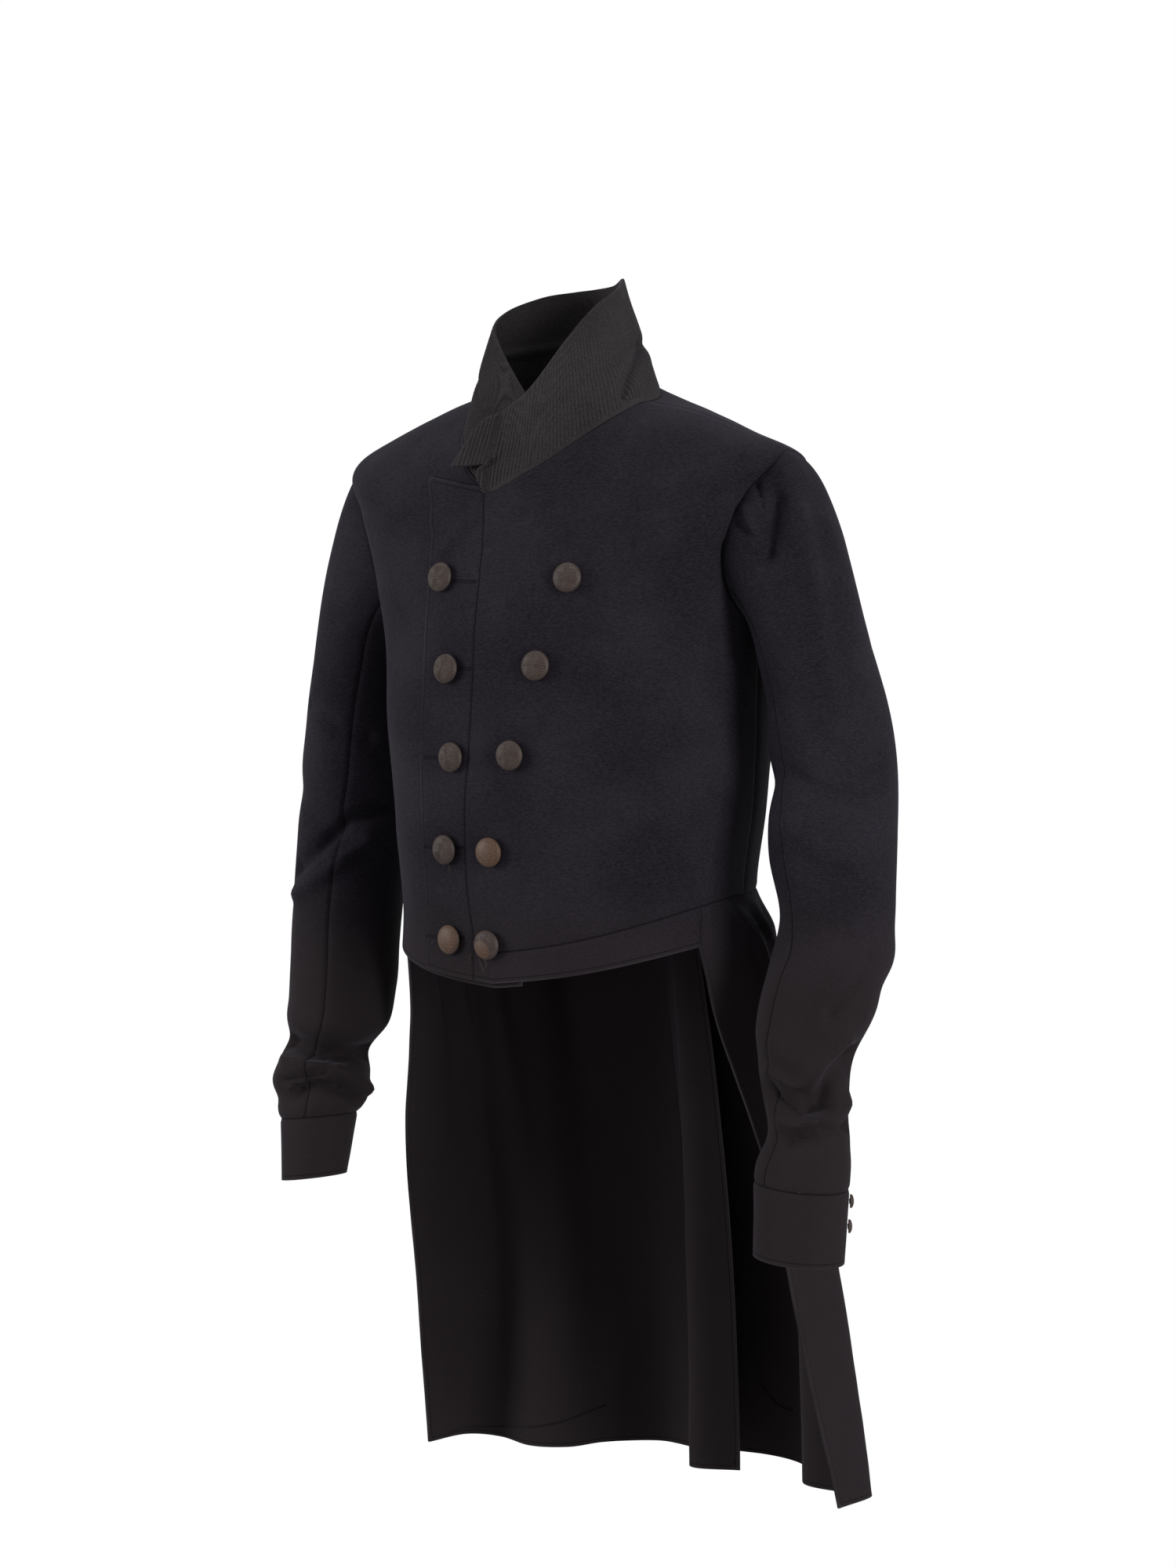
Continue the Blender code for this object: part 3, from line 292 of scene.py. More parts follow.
# Sleeves: level sections below the armhole, x taken as positive on both sides
Ring = namedtuple("Ring", "z x y half_x half_y")
LEFT_ARM = [
    Ring(-0.190, 0.2260, 0.018, 0.0450, 0.0520),
    Ring(-0.240, 0.2378, 0.022, 0.0475, 0.0530),
    Ring(-0.300, 0.2414, 0.024, 0.0510, 0.0550),
    Ring(-0.360, 0.2425, 0.020, 0.0505, 0.0530),
    Ring(-0.410, 0.2475, 0.018, 0.0450, 0.0490),
    Ring(-0.450, 0.2433, 0.010, 0.0495, 0.0510),
    Ring(-0.490, 0.2340, 0.004, 0.0450, 0.0480),
    Ring(-0.515, 0.2296, -0.002, 0.0380, 0.0420),
    Ring(-0.550, 0.2328, -0.008, 0.0325, 0.0360),
    Ring(-0.580, 0.2396, -0.012, 0.0325, 0.0370),
    Ring(-0.605, 0.2354, -0.016, 0.0370, 0.0400),
    Ring(-0.617, 0.2348, -0.018, 0.0375, 0.0400),
]
RIGHT_ARM = [
    Ring(-0.190, 0.2240, 0.020, 0.0460, 0.0520),
    Ring(-0.240, 0.2340, 0.024, 0.0480, 0.0530),
    Ring(-0.300, 0.2400, 0.028, 0.0510, 0.0540),
    Ring(-0.360, 0.2425, 0.022, 0.0500, 0.0530),
    Ring(-0.420, 0.2430, 0.012, 0.0480, 0.0500),
    Ring(-0.480, 0.2390, 0.002, 0.0470, 0.0490),
    Ring(-0.512, 0.2400, -0.004, 0.0440, 0.0460),
    Ring(-0.537, 0.2500, -0.010, 0.0370, 0.0420),
    Ring(-0.558, 0.2500, -0.014, 0.0410, 0.0450),
    Ring(-0.583, 0.2480, -0.018, 0.0370, 0.0410),
    Ring(-0.592, 0.2475, -0.022, 0.0310, 0.0370),
]
Cuff = namedtuple("Cuff", "end_x end_y end_z end_half_x end_half_y slant")
LEFT_CUFF = Cuff(0.2346, -0.022, -0.675, 0.0355, 0.0390, 0.004)
RIGHT_CUFF = Cuff(0.2460, -0.030, -0.645, 0.0255, 0.0330, 0.003)
HEAD_RINGS = 6 * DETAIL
INWARD_SHARE = 0.02
ARM_ROWS = 15 * DETAIL
HALF_SLEEVE_COLUMNS = 10 * DETAIL
CUFF_ROWS = 2 * DETAIL
HEAD_FRONT_SEAM = -36.0
HEAD_OUTWARD = (0.80, -0.25, -0.45)
HEAD_REACH = 0.065
HEAD_REACH_TOP = 0.040
ARM_REACH = 0.085
ARM_REACH_TOP = 0.060
FOLD_EASE_TOP = 0.040
FOLD_EASE_CUFF = 0.020
ELBOW_Z = -0.50
FOLD_RIDGE = 0.35
RIDGE_PLACE = 2
Seam = namedtuple("Seam", "z front hind")
SLEEVE_SEAMS = [
    Seam(-0.190, -34.0, 135.0),
    Seam(-0.300, -26.0, 80.0),
    Seam(-0.400, -20.0, 70.0),
    Seam(-0.450, -20.0, 100.0),
    Seam(-0.520, -20.0, 118.0),
    Seam(-0.620, -22.0, 122.0),
]
Fold = namedtuple("Fold", "z angle height width slant depth")
LEFT_FOLDS = [
    Fold(-0.420, 20.0, 0.016, 60.0, 0.020, 0.0060),
    Fold(-0.545, 40.0, 0.012, 75.0, -0.016, 0.0070),
    Fold(-0.578, 60.0, 0.010, 60.0, -0.006, 0.0050),
    Fold(-0.300, -60.0, 0.018, 55.0, 0.020, 0.0050),
    Fold(-0.470, 150.0, 0.014, 55.0, -0.012, 0.0050),
]
RIGHT_FOLDS = [
    Fold(-0.340, -10.0, 0.016, 60.0, 0.030, 0.0060),
    Fold(-0.528, 0.0, 0.011, 85.0, 0.004, 0.0060),
    Fold(-0.572, -5.0, 0.009, 80.0, -0.004, 0.0050),
    Fold(-0.430, 150.0, 0.014, 55.0, -0.012, 0.0050),
]

# Buttons: covered domes on the two fronts, by x and z of their centres
CUFF_BUTTON_SCALE = 0.46
ButtonPlace = namedtuple("ButtonPlace", "x z")
EDGE_BUTTONS = [
    ButtonPlace(-0.047, -0.1315),
    ButtonPlace(-0.036, -0.2065),
    ButtonPlace(-0.030, -0.278),
    ButtonPlace(-0.041, -0.353),
    ButtonPlace(-0.043, -0.427),
]
BREAST_BUTTONS = [
    ButtonPlace(0.0725, -0.136),
    ButtonPlace(0.049, -0.206),
    ButtonPlace(0.027, -0.277),
    ButtonPlace(0.004, -0.3545),
    ButtonPlace(-0.004, -0.430),
]
NEWTON_STEPS = 12
ANGLE_TRIAL = 0.1
HEIGHT_TRIAL = 0.001
CUFF_BUTTON_ANGLE = 118.0
CUFF_BUTTON_SHARES = [0.16, 0.50]

# Buttons: worn patches by their middle and reach in button radii, turn of the wrapping in degrees
Worn = namedtuple("Worn", "x y reach")
BUTTON_REACH = 0.0120
BUTTON_RIM = 0.0026
BUTTON_DOME = 0.0052
BUTTON_UNDER = [(0.95, 0.0014), (0.38, 0.0012), (0.38, 0.0)]
BUTTON_RINGS = 44
BUTTON_SIDES = 96
THREAD_PITCH = 0.00125
THREAD_RISE = 0.00050
UNWORN = Worn(0, 0, 0)
EDGE_WORN = [UNWORN] * 4 + [Worn(-0.1, 0.1, 1.25)]
BREAST_WORN = [UNWORN] * 3 + [Worn(0, 0, 1.3), Worn(-0.25, -0.3, 0.75)]
WORN_CORE = 0.7
WORN_FLATTENING = 0.8
EDGE_TURNS = [6, 22, -12, 34, 10]
BREAST_TURNS = [38, 8, -20, 15, 30]
BUTTON_LEAN = 3.0

# Buttonholes on the strip, by picture places of both ends
BUTTONHOLES = [
    ((580, 741), (606, 742)),
    ((585, 853), (600, 853)),
    ((541, 966), (563, 966)),
    ((541, 1080), (590, 1081)),
    ((544, 1194), (592, 1196)),
]
HOLE_HALF_WIDTH = 0.0009
HOLE_THREAD = 0.00045
HOLE_STEPS = 16
THREAD_LIFT = 0.3
THREAD_SIDES = 6
SLANT_UP = (0.31, 0.17, 0.93)

# Loose ends of worn thread, as picture places
FRAYED = [
    [(613, 1222), (615, 1230), (619, 1239)],
    [(619, 1223), (622, 1230), (620, 1236)],
    [(557, 1199), (553, 1203), (551, 1208)],
    [(603, 1216), (600, 1222), (602, 1228)],
    [(573, 1101), (576, 1107), (575, 1112)],
]
FRAY_RADIUS = 0.00018
FRAY_LIFT = 0.002
FRAY_STEPS = 9
FRAY_SIDES = 5

# Lines where a facing is felled inside the tails, as picture places
FACING_LINES = [
    [(574, 1827), (597, 1820), (640, 1820), (679, 1820), (717, 1813), (745, 1803), (773, 1792)],
    [(967, 1762), (982, 1781), (994, 1793), (1011, 1800)],
]
FACING_RADIUS = 0.0007
FACING_LIFT = 0.2
FACING_STEPS = 8

# Creases, by their places in the picture: width in pixels, depth in metres, troughs negative
Crease = namedtuple("Crease", "width depth places")
CREASES = {
    ("left_top_sleeve", "left_under_sleeve"): [
        Crease(
            11, -0.0100, [(985, 1392), (998, 1405), (1020, 1417), (1045, 1406), (1063, 1373), (1090, 1345)]
        ),
        Crease(9, 0.0056, [(985, 1368), (1010, 1385), (1032, 1380), (1052, 1352), (1080, 1325)]),
        Crease(8, -0.0070, [(1005, 1456), (1045, 1440), (1085, 1436)]),
        Crease(10, 0.0044, [(1000, 1432), (1030, 1434), (1060, 1422), (1085, 1404)]),
        Crease(9, -0.0044, [(1060, 1290), (1090, 1262), (1112, 1222)]),
        Crease(12, 0.0044, [(1001, 610), (1012, 664), (1031, 733), (1040, 794), (1055, 864), (1062, 930)]),
        Crease(13, -0.0040, [(1040, 640), (1058, 720), (1072, 800), (1085, 880)]),
        Crease(14, -0.0106, [(992, 640), (985, 670), (978, 705)]),
        Crease(4, -0.0036, [(963, 614), (969, 632), (972, 650)]),
        Crease(7, 0.0040, [(950, 650), (960, 675), (966, 700)]),
        Crease(4, -0.0028, [(938, 668), (952, 678), (966, 690)]),
        Crease(10, -0.0040, [(1010, 985), (1050, 1015), (1095, 1020)]),
        Crease(12, 0.0032, [(1005, 1050), (1040, 1085), (1085, 1100)]),
    ],
    ("right_top_sleeve", "right_under_sleeve"): [
        Crease(9, -0.0100, [(372, 1328), (400, 1340), (430, 1346), (470, 1342)]),
        Crease(7, 0.0057, [(366, 1352), (395, 1360), (428, 1362), (459, 1378), (480, 1400)]),
        Crease(6, -0.0077, [(362, 1378), (390, 1374), (413, 1366)]),
        Crease(7, -0.0100, [(380, 1392), (407, 1384), (432, 1386), (458, 1398)]),
        Crease(9, -0.0072, [(376, 1108), (405, 1085), (445, 1048), (500, 1030)]),
        Crease(10, 0.0048, [(380, 1140), (420, 1110), (470, 1072)]),
        Crease(10, -0.0043, [(400, 900), (430, 930), (470, 940)]),
    ],
    ("left_front", "lapel_strip"): [
        Crease(6, -0.0016, [(612, 668), (590, 692), (566, 714)]),
        Crease(8, 0.0016, [(590, 668), (574, 690), (560, 712)]),
        Crease(12, -0.0012, [(600, 704), (640, 690), (700, 700)]),
    ],
    ("left_front",): [
        Crease(13, -0.0030, [(924, 700), (930, 760), (936, 830)]),
        Crease(20, 0.0018, [(880, 760), (890, 860), (880, 960)]),
        Crease(18, -0.0014, [(700, 1130), (790, 1090), (880, 1060)]),
    ],
    ("left_skirt",): [
        Crease(7, -0.0030, [(935, 1149), (958, 1185), (972, 1245), (985, 1320)]),
        Crease(6, -0.0026, [(944, 1146), (987, 1205), (1010, 1290)]),
        Crease(7, -0.0025, [(893, 1180), (896, 1200), (906, 1230)]),
    ],
    ("collar",): [
        Crease(5, -0.0048, [(819, 434), (812, 460), (803, 480), (796, 504)]),
        Crease(9, 0.0020, [(828, 448), (824, 470), (815, 494)]),
        Crease(10, 0.0012, [(800, 440), (792, 468), (782, 496)]),
    ],
}
FACING_LOW = 0.02
FACING_HIGH = 0.22

# Slow unevenness of worn cloth
WAVE_SIZE = 0.070
WAVE_HEIGHT = 0.0011
RIPPLE_SIZE = 0.022
RIPPLE_HEIGHT = 0.00022

# Pull of the cloth under each front button
DIMPLE_REACH = 0.016
DIMPLE_DEPTH = 0.0012

# Free edges of each piece's grids, where the cloth is turned, pressed and worn: lighter with wear and a
# painted highlight on the turned edge, and darkened with painted shade along the pressed line
ALL_SIDES = ["left", "right", "top", "bottom"]
FREE_EDGES = {
    "lapel_strip": [["left", "top", "bottom"]],
    "right_front": [["left"]],
    "left_skirt": [["top"], ["left", "top"]],
    "right_skirt": [["top", "left"], ["left", "top", "right"]],
    "left_cuff": [["top"]],
    "right_cuff": [["top"]],
}
EDGE_FAR = 0.05

# Sewn sides of each piece's grids, where the cloth sinks into the seam and its colour is darkened with
# painted shade
SEWN_EDGES = {
    "left_front": [ALL_SIDES],
    "right_front": [["right", "top"]],
    "lapel_strip": [["right"]],
    "left_side_body": [ALL_SIDES],
    "right_side_body": [ALL_SIDES],
    "left_back": [ALL_SIDES],
    "right_back": [ALL_SIDES],
    "left_skirt": [["bottom"], ["bottom"]],
    "right_skirt": [[], []],
    "collar": [["bottom"]],
    "left_top_sleeve": [["left", "top", "bottom"]],
    "right_top_sleeve": [["left", "top", "bottom"]],
    "left_under_sleeve": [["right", "top", "bottom"]],
    "right_under_sleeve": [["right", "top", "bottom"]],
    "left_cuff": [["bottom"]],
    "right_cuff": [["bottom"]],
}
SEAM_SINK = 0.0010
SEAM_REACH = 0.0020
# Painted shade along the seams: how far from a seam it reaches, and how dark it makes the cloth
SEAM_SHADE_REACH = (0.00036, 0.0012)
SEAM_SHADE_STRENGTH = 0.6

# Cut size of each sheet: width, length and area, in metres and square metres
Cut = namedtuple("Cut", "width length area hangs_from")
CUTS = {
    "left_front": Cut(0.30, 0.53, 0.106, "left_back"),
    "right_front": Cut(0.31, 0.53, 0.113, "right_back"),
    "lapel_strip": Cut(0.085, 0.44, 0.023, "left_front"),
    "left_side_body": Cut(0.20, 0.29, 0.035, "left_back"),
    "right_side_body": Cut(0.20, 0.29, 0.034, "right_back"),
    "left_back": Cut(0.26, 0.47, 0.066, "left_front"),
    "right_back": Cut(0.26, 0.47, 0.066, "right_front"),
    "left_skirt": Cut(0.54, 0.55, 0.166, "left_side_body"),
    "right_skirt": Cut(0.64, 0.55, 0.206, "right_side_body"),
    "collar": Cut(0.46, 0.15, 0.044, "left_back"),
    "left_top_sleeve": Cut(0.19, 0.62, 0.069, "left_front"),
    "right_top_sleeve": Cut(0.19, 0.61, 0.069, "right_front"),
    "left_under_sleeve": Cut(0.24, 0.60, 0.096, "left_side_body"),
    "right_under_sleeve": Cut(0.24, 0.59, 0.098, "right_side_body"),
    "left_cuff": Cut(0.25, 0.066, 0.014, "left_top_sleeve"),
    "right_cuff": Cut(0.22, 0.060, 0.011, "right_top_sleeve"),
}

# Materials: linear colours, and noise scales along each axis per metre
Surface = namedtuple("Surface", "name roughness sheen tint specular")
SHEEN_ROUGHNESS = 0.40
SHEEN_TINT = (0.85, 0.82, 1.0)
WRAPPED = Surface("wrapped_thread", 0.50, 0.04, (0.9, 0.8, 0.7), 0.20)
BUTTONHOLE_THREAD = Surface("black_thread", 0.7, 0.03, SHEEN_TINT, 0.05)
LOOSE_THREAD = Surface("frayed_thread", 0.7, 0.03, SHEEN_TINT, 0.05)
# A look's last field is how dark painted shade makes the collar's rib grooves
Look = namedtuple("Look", "surface dark light worn browned grooved")
# A look's worn colour is the lighter colour of its turned edges: partly wear, partly a painted highlight
WOOL = Look(
    surface=Surface("napped_wool", 0.85, 0.045, SHEEN_TINT, 0.05),
    dark=(0.0070, 0.0058, 0.0086),
    light=(0.0190, 0.0162, 0.0218),
    worn=(0.030, 0.027, 0.030),
    browned=0.75,
    grooved=0.0,
)
COLLAR_WOOL = Look(
    surface=Surface("padded_wool", 0.85, 0.045, SHEEN_TINT, 0.05),
    dark=(0.0170, 0.0150, 0.0160),
    light=(0.0330, 0.0298, 0.0310),
    worn=(0.040, 0.036, 0.037),
    browned=0.0,
    grooved=0.50,
)
Noise = namedtuple("Noise", "scale detail")
WEAVE = Noise((300.0, 300.0, 1100.0), 3.0)
WEAVE_SHARE = 0.6
NAP = Noise((900.0, 900.0, 900.0), 2.0)
NAP_SHARE = 0.4
PATCHES = Noise((11.0, 11.0, 11.0), 4.0)
FIBRE = Noise((900.0, 900.0, 900.0), 3.0)
THREAD_PATCHES = Noise((160.0, 160.0, 160.0), 3.0)
TWIST = Noise((700.0, 700.0, 1500.0), 2.0)
TWIST_DARKNESS = 0.5
GRAIN_SPREAD = (0.38, 0.62)
PATCH_SPREAD = (0.35, 0.65)
FIBRE_SPREAD = (0.3, 0.7)
FINE_SHARE = 0.6
SLOW_SHARE = 0.4
BROWNED = (0.0165, 0.0128, 0.0135)
BROWN_HEIGHTS = (-0.36, -0.48)
SHADED = (0.0016, 0.0012, 0.0016)
# Lighter turned edges, partly wear and partly a painted highlight: reach, strength and least share
WEAR_AND_HIGHLIGHT_REACH = 0.0018
WEAR_AND_HIGHLIGHT_STRENGTH = 0.9
WEAR_AND_HIGHLIGHT_LEAST = 0.1
# Painted shade in the collar's rib grooves, over this share of the rib value
GROOVE_WIDTH = 0.6
# Pressed line near a turned edge: sunk in the relief and darkened with painted shade
PRESS_LINE = 0.0036
PRESS_WIDTH = 0.0008
PRESS_SHADE_STRENGTH = 0.5
PRESS_RELIEF = 1.5
Relief = namedtuple("Relief", "strength distance")
CLOTH_RELIEF = Relief(0.55, 0.0005)
THREAD_RELIEF = Relief(0.4, 0.0002)
LINT = (0.16, 0.15, 0.14)
LINT_SCALE = 55.0
LINT_REACH = (0.011, 0.022)
LINT_RARITY = 0.86
LINT_STRENGTH = 0.8
# Button thread: painted shade between the wrapped threads, and a painted highlight on their ridges, in places
# tan
THREAD_SHADED_GROOVE = (0.0120, 0.0085, 0.0085)
THREAD_LIT_RIDGE = (0.0700, 0.0500, 0.0440)
THREAD_TAN = (0.0800, 0.0560, 0.0460)
BARE_DARK = (0.0500, 0.0280, 0.0180)
BARE_LIGHT = (0.0860, 0.0500, 0.0330)
BLACK_THREAD = (0.0065, 0.0055, 0.0062)

# Light and stage
Light = namedtuple("Light", "name x y z aim_z wide high power")
LIGHTS = [
    Light("key", -2.3, -2.0, 0.3, -0.35, 1.4, 1.8, 75.0),
    Light("fill", 3.2, -0.9, 0.0, -0.40, 1.0, 2.2, 95.0),
    Light("top", -0.2, -0.3, 2.6, -0.30, 1.6, 1.6, 20.0),
]
WORLD_SEEN = 1.0
WORLD_LIGHT = 0.48

# Sockets of a colour mix
MIX_SHARE = 0
MIX_FIRST = 6
MIX_SECOND = 7
MIX_COLOUR = 2


def through(knots, values, at):
    """Smooth curve through the values at the knots, read at the given places."""
    knots = np.asarray(knots, float)
    values = np.asarray(values, float)
    if values.ndim == 1:
        return through(knots, values[:, None], at)[..., 0]
    slopes = np.gradient(values, knots, axis=0)
    at = np.clip(np.asarray(at, float), knots[0], knots[-1])
    cell = np.clip(np.searchsorted(knots, at, side="right") - 1, 0, len(knots) - 2)
    width = (knots[cell + 1] - knots[cell])[..., None]
    u = (at - knots[cell])[..., None] / width
    start = values[cell] * (1 + 2 * u) * (1 - u) ** 2 + slopes[cell] * width * u * (1 - u) ** 2
    end = values[cell + 1] * u**2 * (3 - 2 * u) + slopes[cell + 1] * width * u**2 * (u - 1)
    return start + end


def smooth_step(value, low, high):
    """0 below low, 1 above high, and a smooth rise between them."""
    u = np.clip((np.asarray(value, float) - low) / (high - low), 0, 1)
    return u * u * (3 - 2 * u)


def unit(vectors):
    """The same directions at length 1."""
    return vectors / np.linalg.norm(vectors, axis=-1, keepdims=True)


def loop_share(turn):
    """Share of a loop's rise at a quarter turn's share, a little soft at both ends."""
    turn = np.clip(turn, 0, 1)
    return turn - LOOP_SOFTNESS * np.sin(2 * np.pi * turn) / (2 * np.pi)


def bodice(angle, height):
    """Point of the bodice's outer surface, with the angle in degrees from -180 to 200."""
    table = np.array(LEVELS)
    level = Level(height, *np.moveaxis(through(table[:, 0], table[:, 1:], height), -1, 0))
    turn = np.radians(angle)
    sine, cosine = np.sin(turn), np.cos(turn)
    half = level.half_left * (1 + sine) / 2 + level.half_right * (1 - sine) / 2
    reach = (np.abs(sine) ** level.square + np.abs(cosine) ** level.square) ** (-1 / level.square)
    z_side = level.z_side + level.raise_right * (1 - sine) / 2
    depth = np.where(cosine > 0, level.y_side - level.front, level.back - level.y_side)
    quarter = np.abs((np.asarray(angle) + 180) % 360 - 180) / 90
    fore = (z_side - level.z_front) * loop_share(quarter)
    z = level.z_front + fore + (level.z_back - z_side) * loop_share(quarter - 1)
    return np.stack([half * sine * reach, level.y_side - depth * cosine * reach, z], axis=-1)


def bodice_normal(angle, height):
    """Outward direction of the bodice's surface."""
    around = bodice(angle + ANGLE_STEP, height) - bodice(angle - ANGLE_STEP, height)
    up = bodice(angle, height + HEIGHT_STEP) - bodice(angle, height - HEIGHT_STEP)
    return unit(np.cross(around, up))


def overlap_lift(angle, side):
    """How far the left front lies off the bodice's surface, over the right front."""
    if side < 0:
        return np.zeros_like(angle)
    return OVERLAP_LIFT * (1 - smooth_step(angle, LIFT_START, LIFT_END))


def faces_of(cut, side):
    """Outer and inner points of the bodice at a grid of (angle, height), on the given side."""
    angle, height = cut[..., 0], cut[..., 1]
    outer = bodice(angle * side, height)
    normal = bodice_normal(angle * side, height)
    lift = overlap_lift(angle, side)[..., None]
    return outer + normal * lift, outer + normal * (lift - WALL)


def ruled(left, right, stations):
    """Grid between two curves of equally many points, rows along the curves."""
    share = np.asarray(stations)[None, :, None]
    return left[:, None] * (1 - share) + right[:, None] * share


def pulled_in(grid, sides):
    """Moves the named borders of a grid inwards, by half of the gap that a seam has."""
    moved = grid.copy()
    half = SEAM_GAP / 2
    if "bottom" in sides:
        moved[0] += unit(grid[1] - grid[0]) * half
    if "top" in sides:
        moved[-1] += unit(grid[-2] - grid[-1]) * half
    if "left" in sides:
        moved[:, 0] += unit(grid[:, 1] - grid[:, 0]) * half
    if "right" in sides:
        moved[:, -1] += unit(grid[:, -2] - grid[:, -1]) * half
    return moved


def grid_normals(grid, wrapped=False):
    """Directions across a grid, outward where its columns turn left and its rows rise."""
    if wrapped:
        around = np.roll(grid, -1, axis=1) - np.roll(grid, 1, axis=1)
    else:
        around = np.gradient(grid, axis=1)
    return unit(np.cross(around, np.gradient(grid, axis=0)))


def steps(start, end, count):
    """count + 1 evenly spaced pairs from start to end."""
    return np.linspace(start, end, count + 1)


def armhole(turn):
    """(angle, height) of the armhole at its own angle in degrees."""
    turn = np.radians(turn)
    reach = np.where(np.sin(turn) > 0, ARM_FORWARD, ARM_BACKWARD)
    return np.stack(
        [ARM_ANGLE - reach * np.sin(turn), ARM_HEIGHT + ARM_HALF_HEIGHT * np.cos(turn)], axis=-1
    )


def side_seam():
    """Seam between front and side body, from the waist up to the armhole."""
    return steps((SIDE_SEAM_WAIST, 0.0), armhole(180.0), SIDE_ROWS)


def back_seam():
    """Curved seam between side body and back, from the waist up to the armhole."""
    top = armhole(180.0 + ARM_SIDE_STEPS * ARM_STEP)
    seam = steps((BACK_SEAM_WAIST, 0.0), top, SIDE_ROWS)
    seam[:, 0] += BACK_SEAM_CURVE * np.sin(np.pi * np.linspace(0, 1, SIDE_ROWS + 1))
    return seam


def edge_places(rows, heights):
    """(angle, height) along a front's edge at the given heights."""
    table = np.array(rows)
    return np.stack([through(table[:, 0], table[:, 1], heights), heights], axis=-1)


def front_edge(side):
    """(angle, height) along the front's own edge, from the waist up to the neck."""
    rows = LEFT_FRONT_EDGE if side > 0 else RIGHT_FRONT_EDGE
    low = np.linspace(0, ARM_HEIGHT - ARM_HALF_HEIGHT, SIDE_ROWS + 1)
    heights = np.concatenate([low, np.linspace(low[-1], 1, EDGE_ROWS + 1)[1:]])
    return edge_places(rows, heights)


def front_cut(side):
    """Grid of a front: edge and neck on its left, side seam and armhole on its right."""
    edge = front_edge(side)
    neck = steps(edge[-1], (NECK_POINT, 1.0), NECK_FRONT_ROWS)[1:]
    turns = 180 - ARM_STEP * np.arange(1, ARM_FRONT_STEPS + 1)
    outside = np.concatenate([side_seam(), armhole(turns)])
    return ruled(np.concatenate([edge, neck]), outside, FRONT_STATIONS)


def side_cut():
    """Grid of a side body between side seam and back seam, up to the armhole."""
    grid = ruled(side_seam(), back_seam(), np.linspace(0, 1, ARM_SIDE_STEPS + 1))
    turns = 180 + ARM_STEP * np.arange(ARM_SIDE_STEPS + 1)
    share = np.linspace(0, 1, SIDE_ROWS + 1)[:, None, None] ** 2
    return grid + share * (armhole(turns) - grid[-1])[None]


def back_cut():
    """Grid of a back: back seam and armhole on its left, centre back and neck on its right."""
    turns = 180 + ARM_STEP * (ARM_SIDE_STEPS + np.arange(1, ARM_BACK_STEPS + 1))
    outside = np.concatenate([back_seam(), armhole(turns)])
    centre = steps((180.0, 0.0), (180.0, 1.0), SIDE_ROWS + CENTRE_BACK_ROWS)
    neck = steps((180.0, 1.0), (NECK_POINT, 1.0), NECK_BACK_ROWS)[1:]
    return ruled(outside, np.concatenate([centre, neck]), 1 - np.array(FRONT_STATIONS)[::-1])


def band_drop(angle, side):
    """Height of the band's hem below the waist seam at an angle."""
    share = np.clip(np.asarray(angle, float) / TAIL_CORNER, 0, 1)
    extra = RIGHT_BAND_EXTRA * (1 - share) if side < 0 else 0
    return BAND_FRONT + (BAND_CORNER - BAND_FRONT) * share + extra


def strip_cut():
    """Grid of the buttonhole strip, from the hem of the band to the lapel's top edge."""
    seam = front_edge(1)
    below = np.linspace(-band_drop(seam[0, 0], 1), 0, BAND_ROWS + 1)[:-1]
    seam = np.concatenate([np.stack([np.full(BAND_ROWS, seam[0, 0]), below], axis=-1), seam])
    share = (seam[:, 1] - seam[0, 1]) / (1 - seam[0, 1])
    height = seam[0, 1] + share * (STRIP_CORNER_HEIGHT - seam[0, 1])
    return ruled(edge_places(STRIP_EDGE, height), seam, STRIP_STATIONS)


def bodice_panel(name, cut, side, sides, material):
    """Panel of the bodice from its grid of (angle, height)."""
    outer, inner = faces_of(cut, side)
    return wall(name, [(pulled_in(outer, sides), pulled_in(inner, sides))], material)


def on_polyline(places, knots, points):
    """Points at the given places along straight stretches between the knots."""
    return np.stack([np.interp(places, knots, points[:, axis]) for axis in range(3)], axis=-1)


def waist_points(angles, side):
    """Outer and inner points on the waist seam, straight between the bodice's own points."""
    knots = np.concatenate([front_cut(side)[0, :, 0], side_cut()[0, 1:, 0], back_cut()[0, 1:, 0]])
    outer, inner = faces_of(np.stack([knots, np.zeros_like(knots)], axis=-1), side)
    return on_polyline(angles, knots, outer), on_polyline(angles, knots, inner)


def tail_angles(side):
    """Angles of the tail's columns along the waist seam, from the band's corner to the back."""
    front = front_cut(side)[0, CORNER_STATION:, 0]
    middle = np.linspace(SIDE_SEAM_WAIST, BACK_SEAM_WAIST, TAIL_SIDE_COLUMNS + 1)[1:]
    back = np.linspace(BACK_SEAM_WAIST, 180.0, TAIL_BACK_COLUMNS + 1)[1:]
    return np.concatenate([front, middle, back])


def band_grids(side):
    """Outer and inner points of the band, rows from the waist seam down to its hem."""
    angles = front_cut(side)[0, : CORNER_STATION + 1, 0]
    shares = np.linspace(0, 1, BAND_ROWS + 1)[1:]
    cut = np.array([np.stack([angles, -band_drop(angles, side) * share], axis=-1) for share in shares])
    outer, inner = faces_of(cut, side)
    top_outer, top_inner = waist_points(angles, side)
    return np.concatenate([top_outer[None], outer]), np.concatenate([top_inner[None], inner])


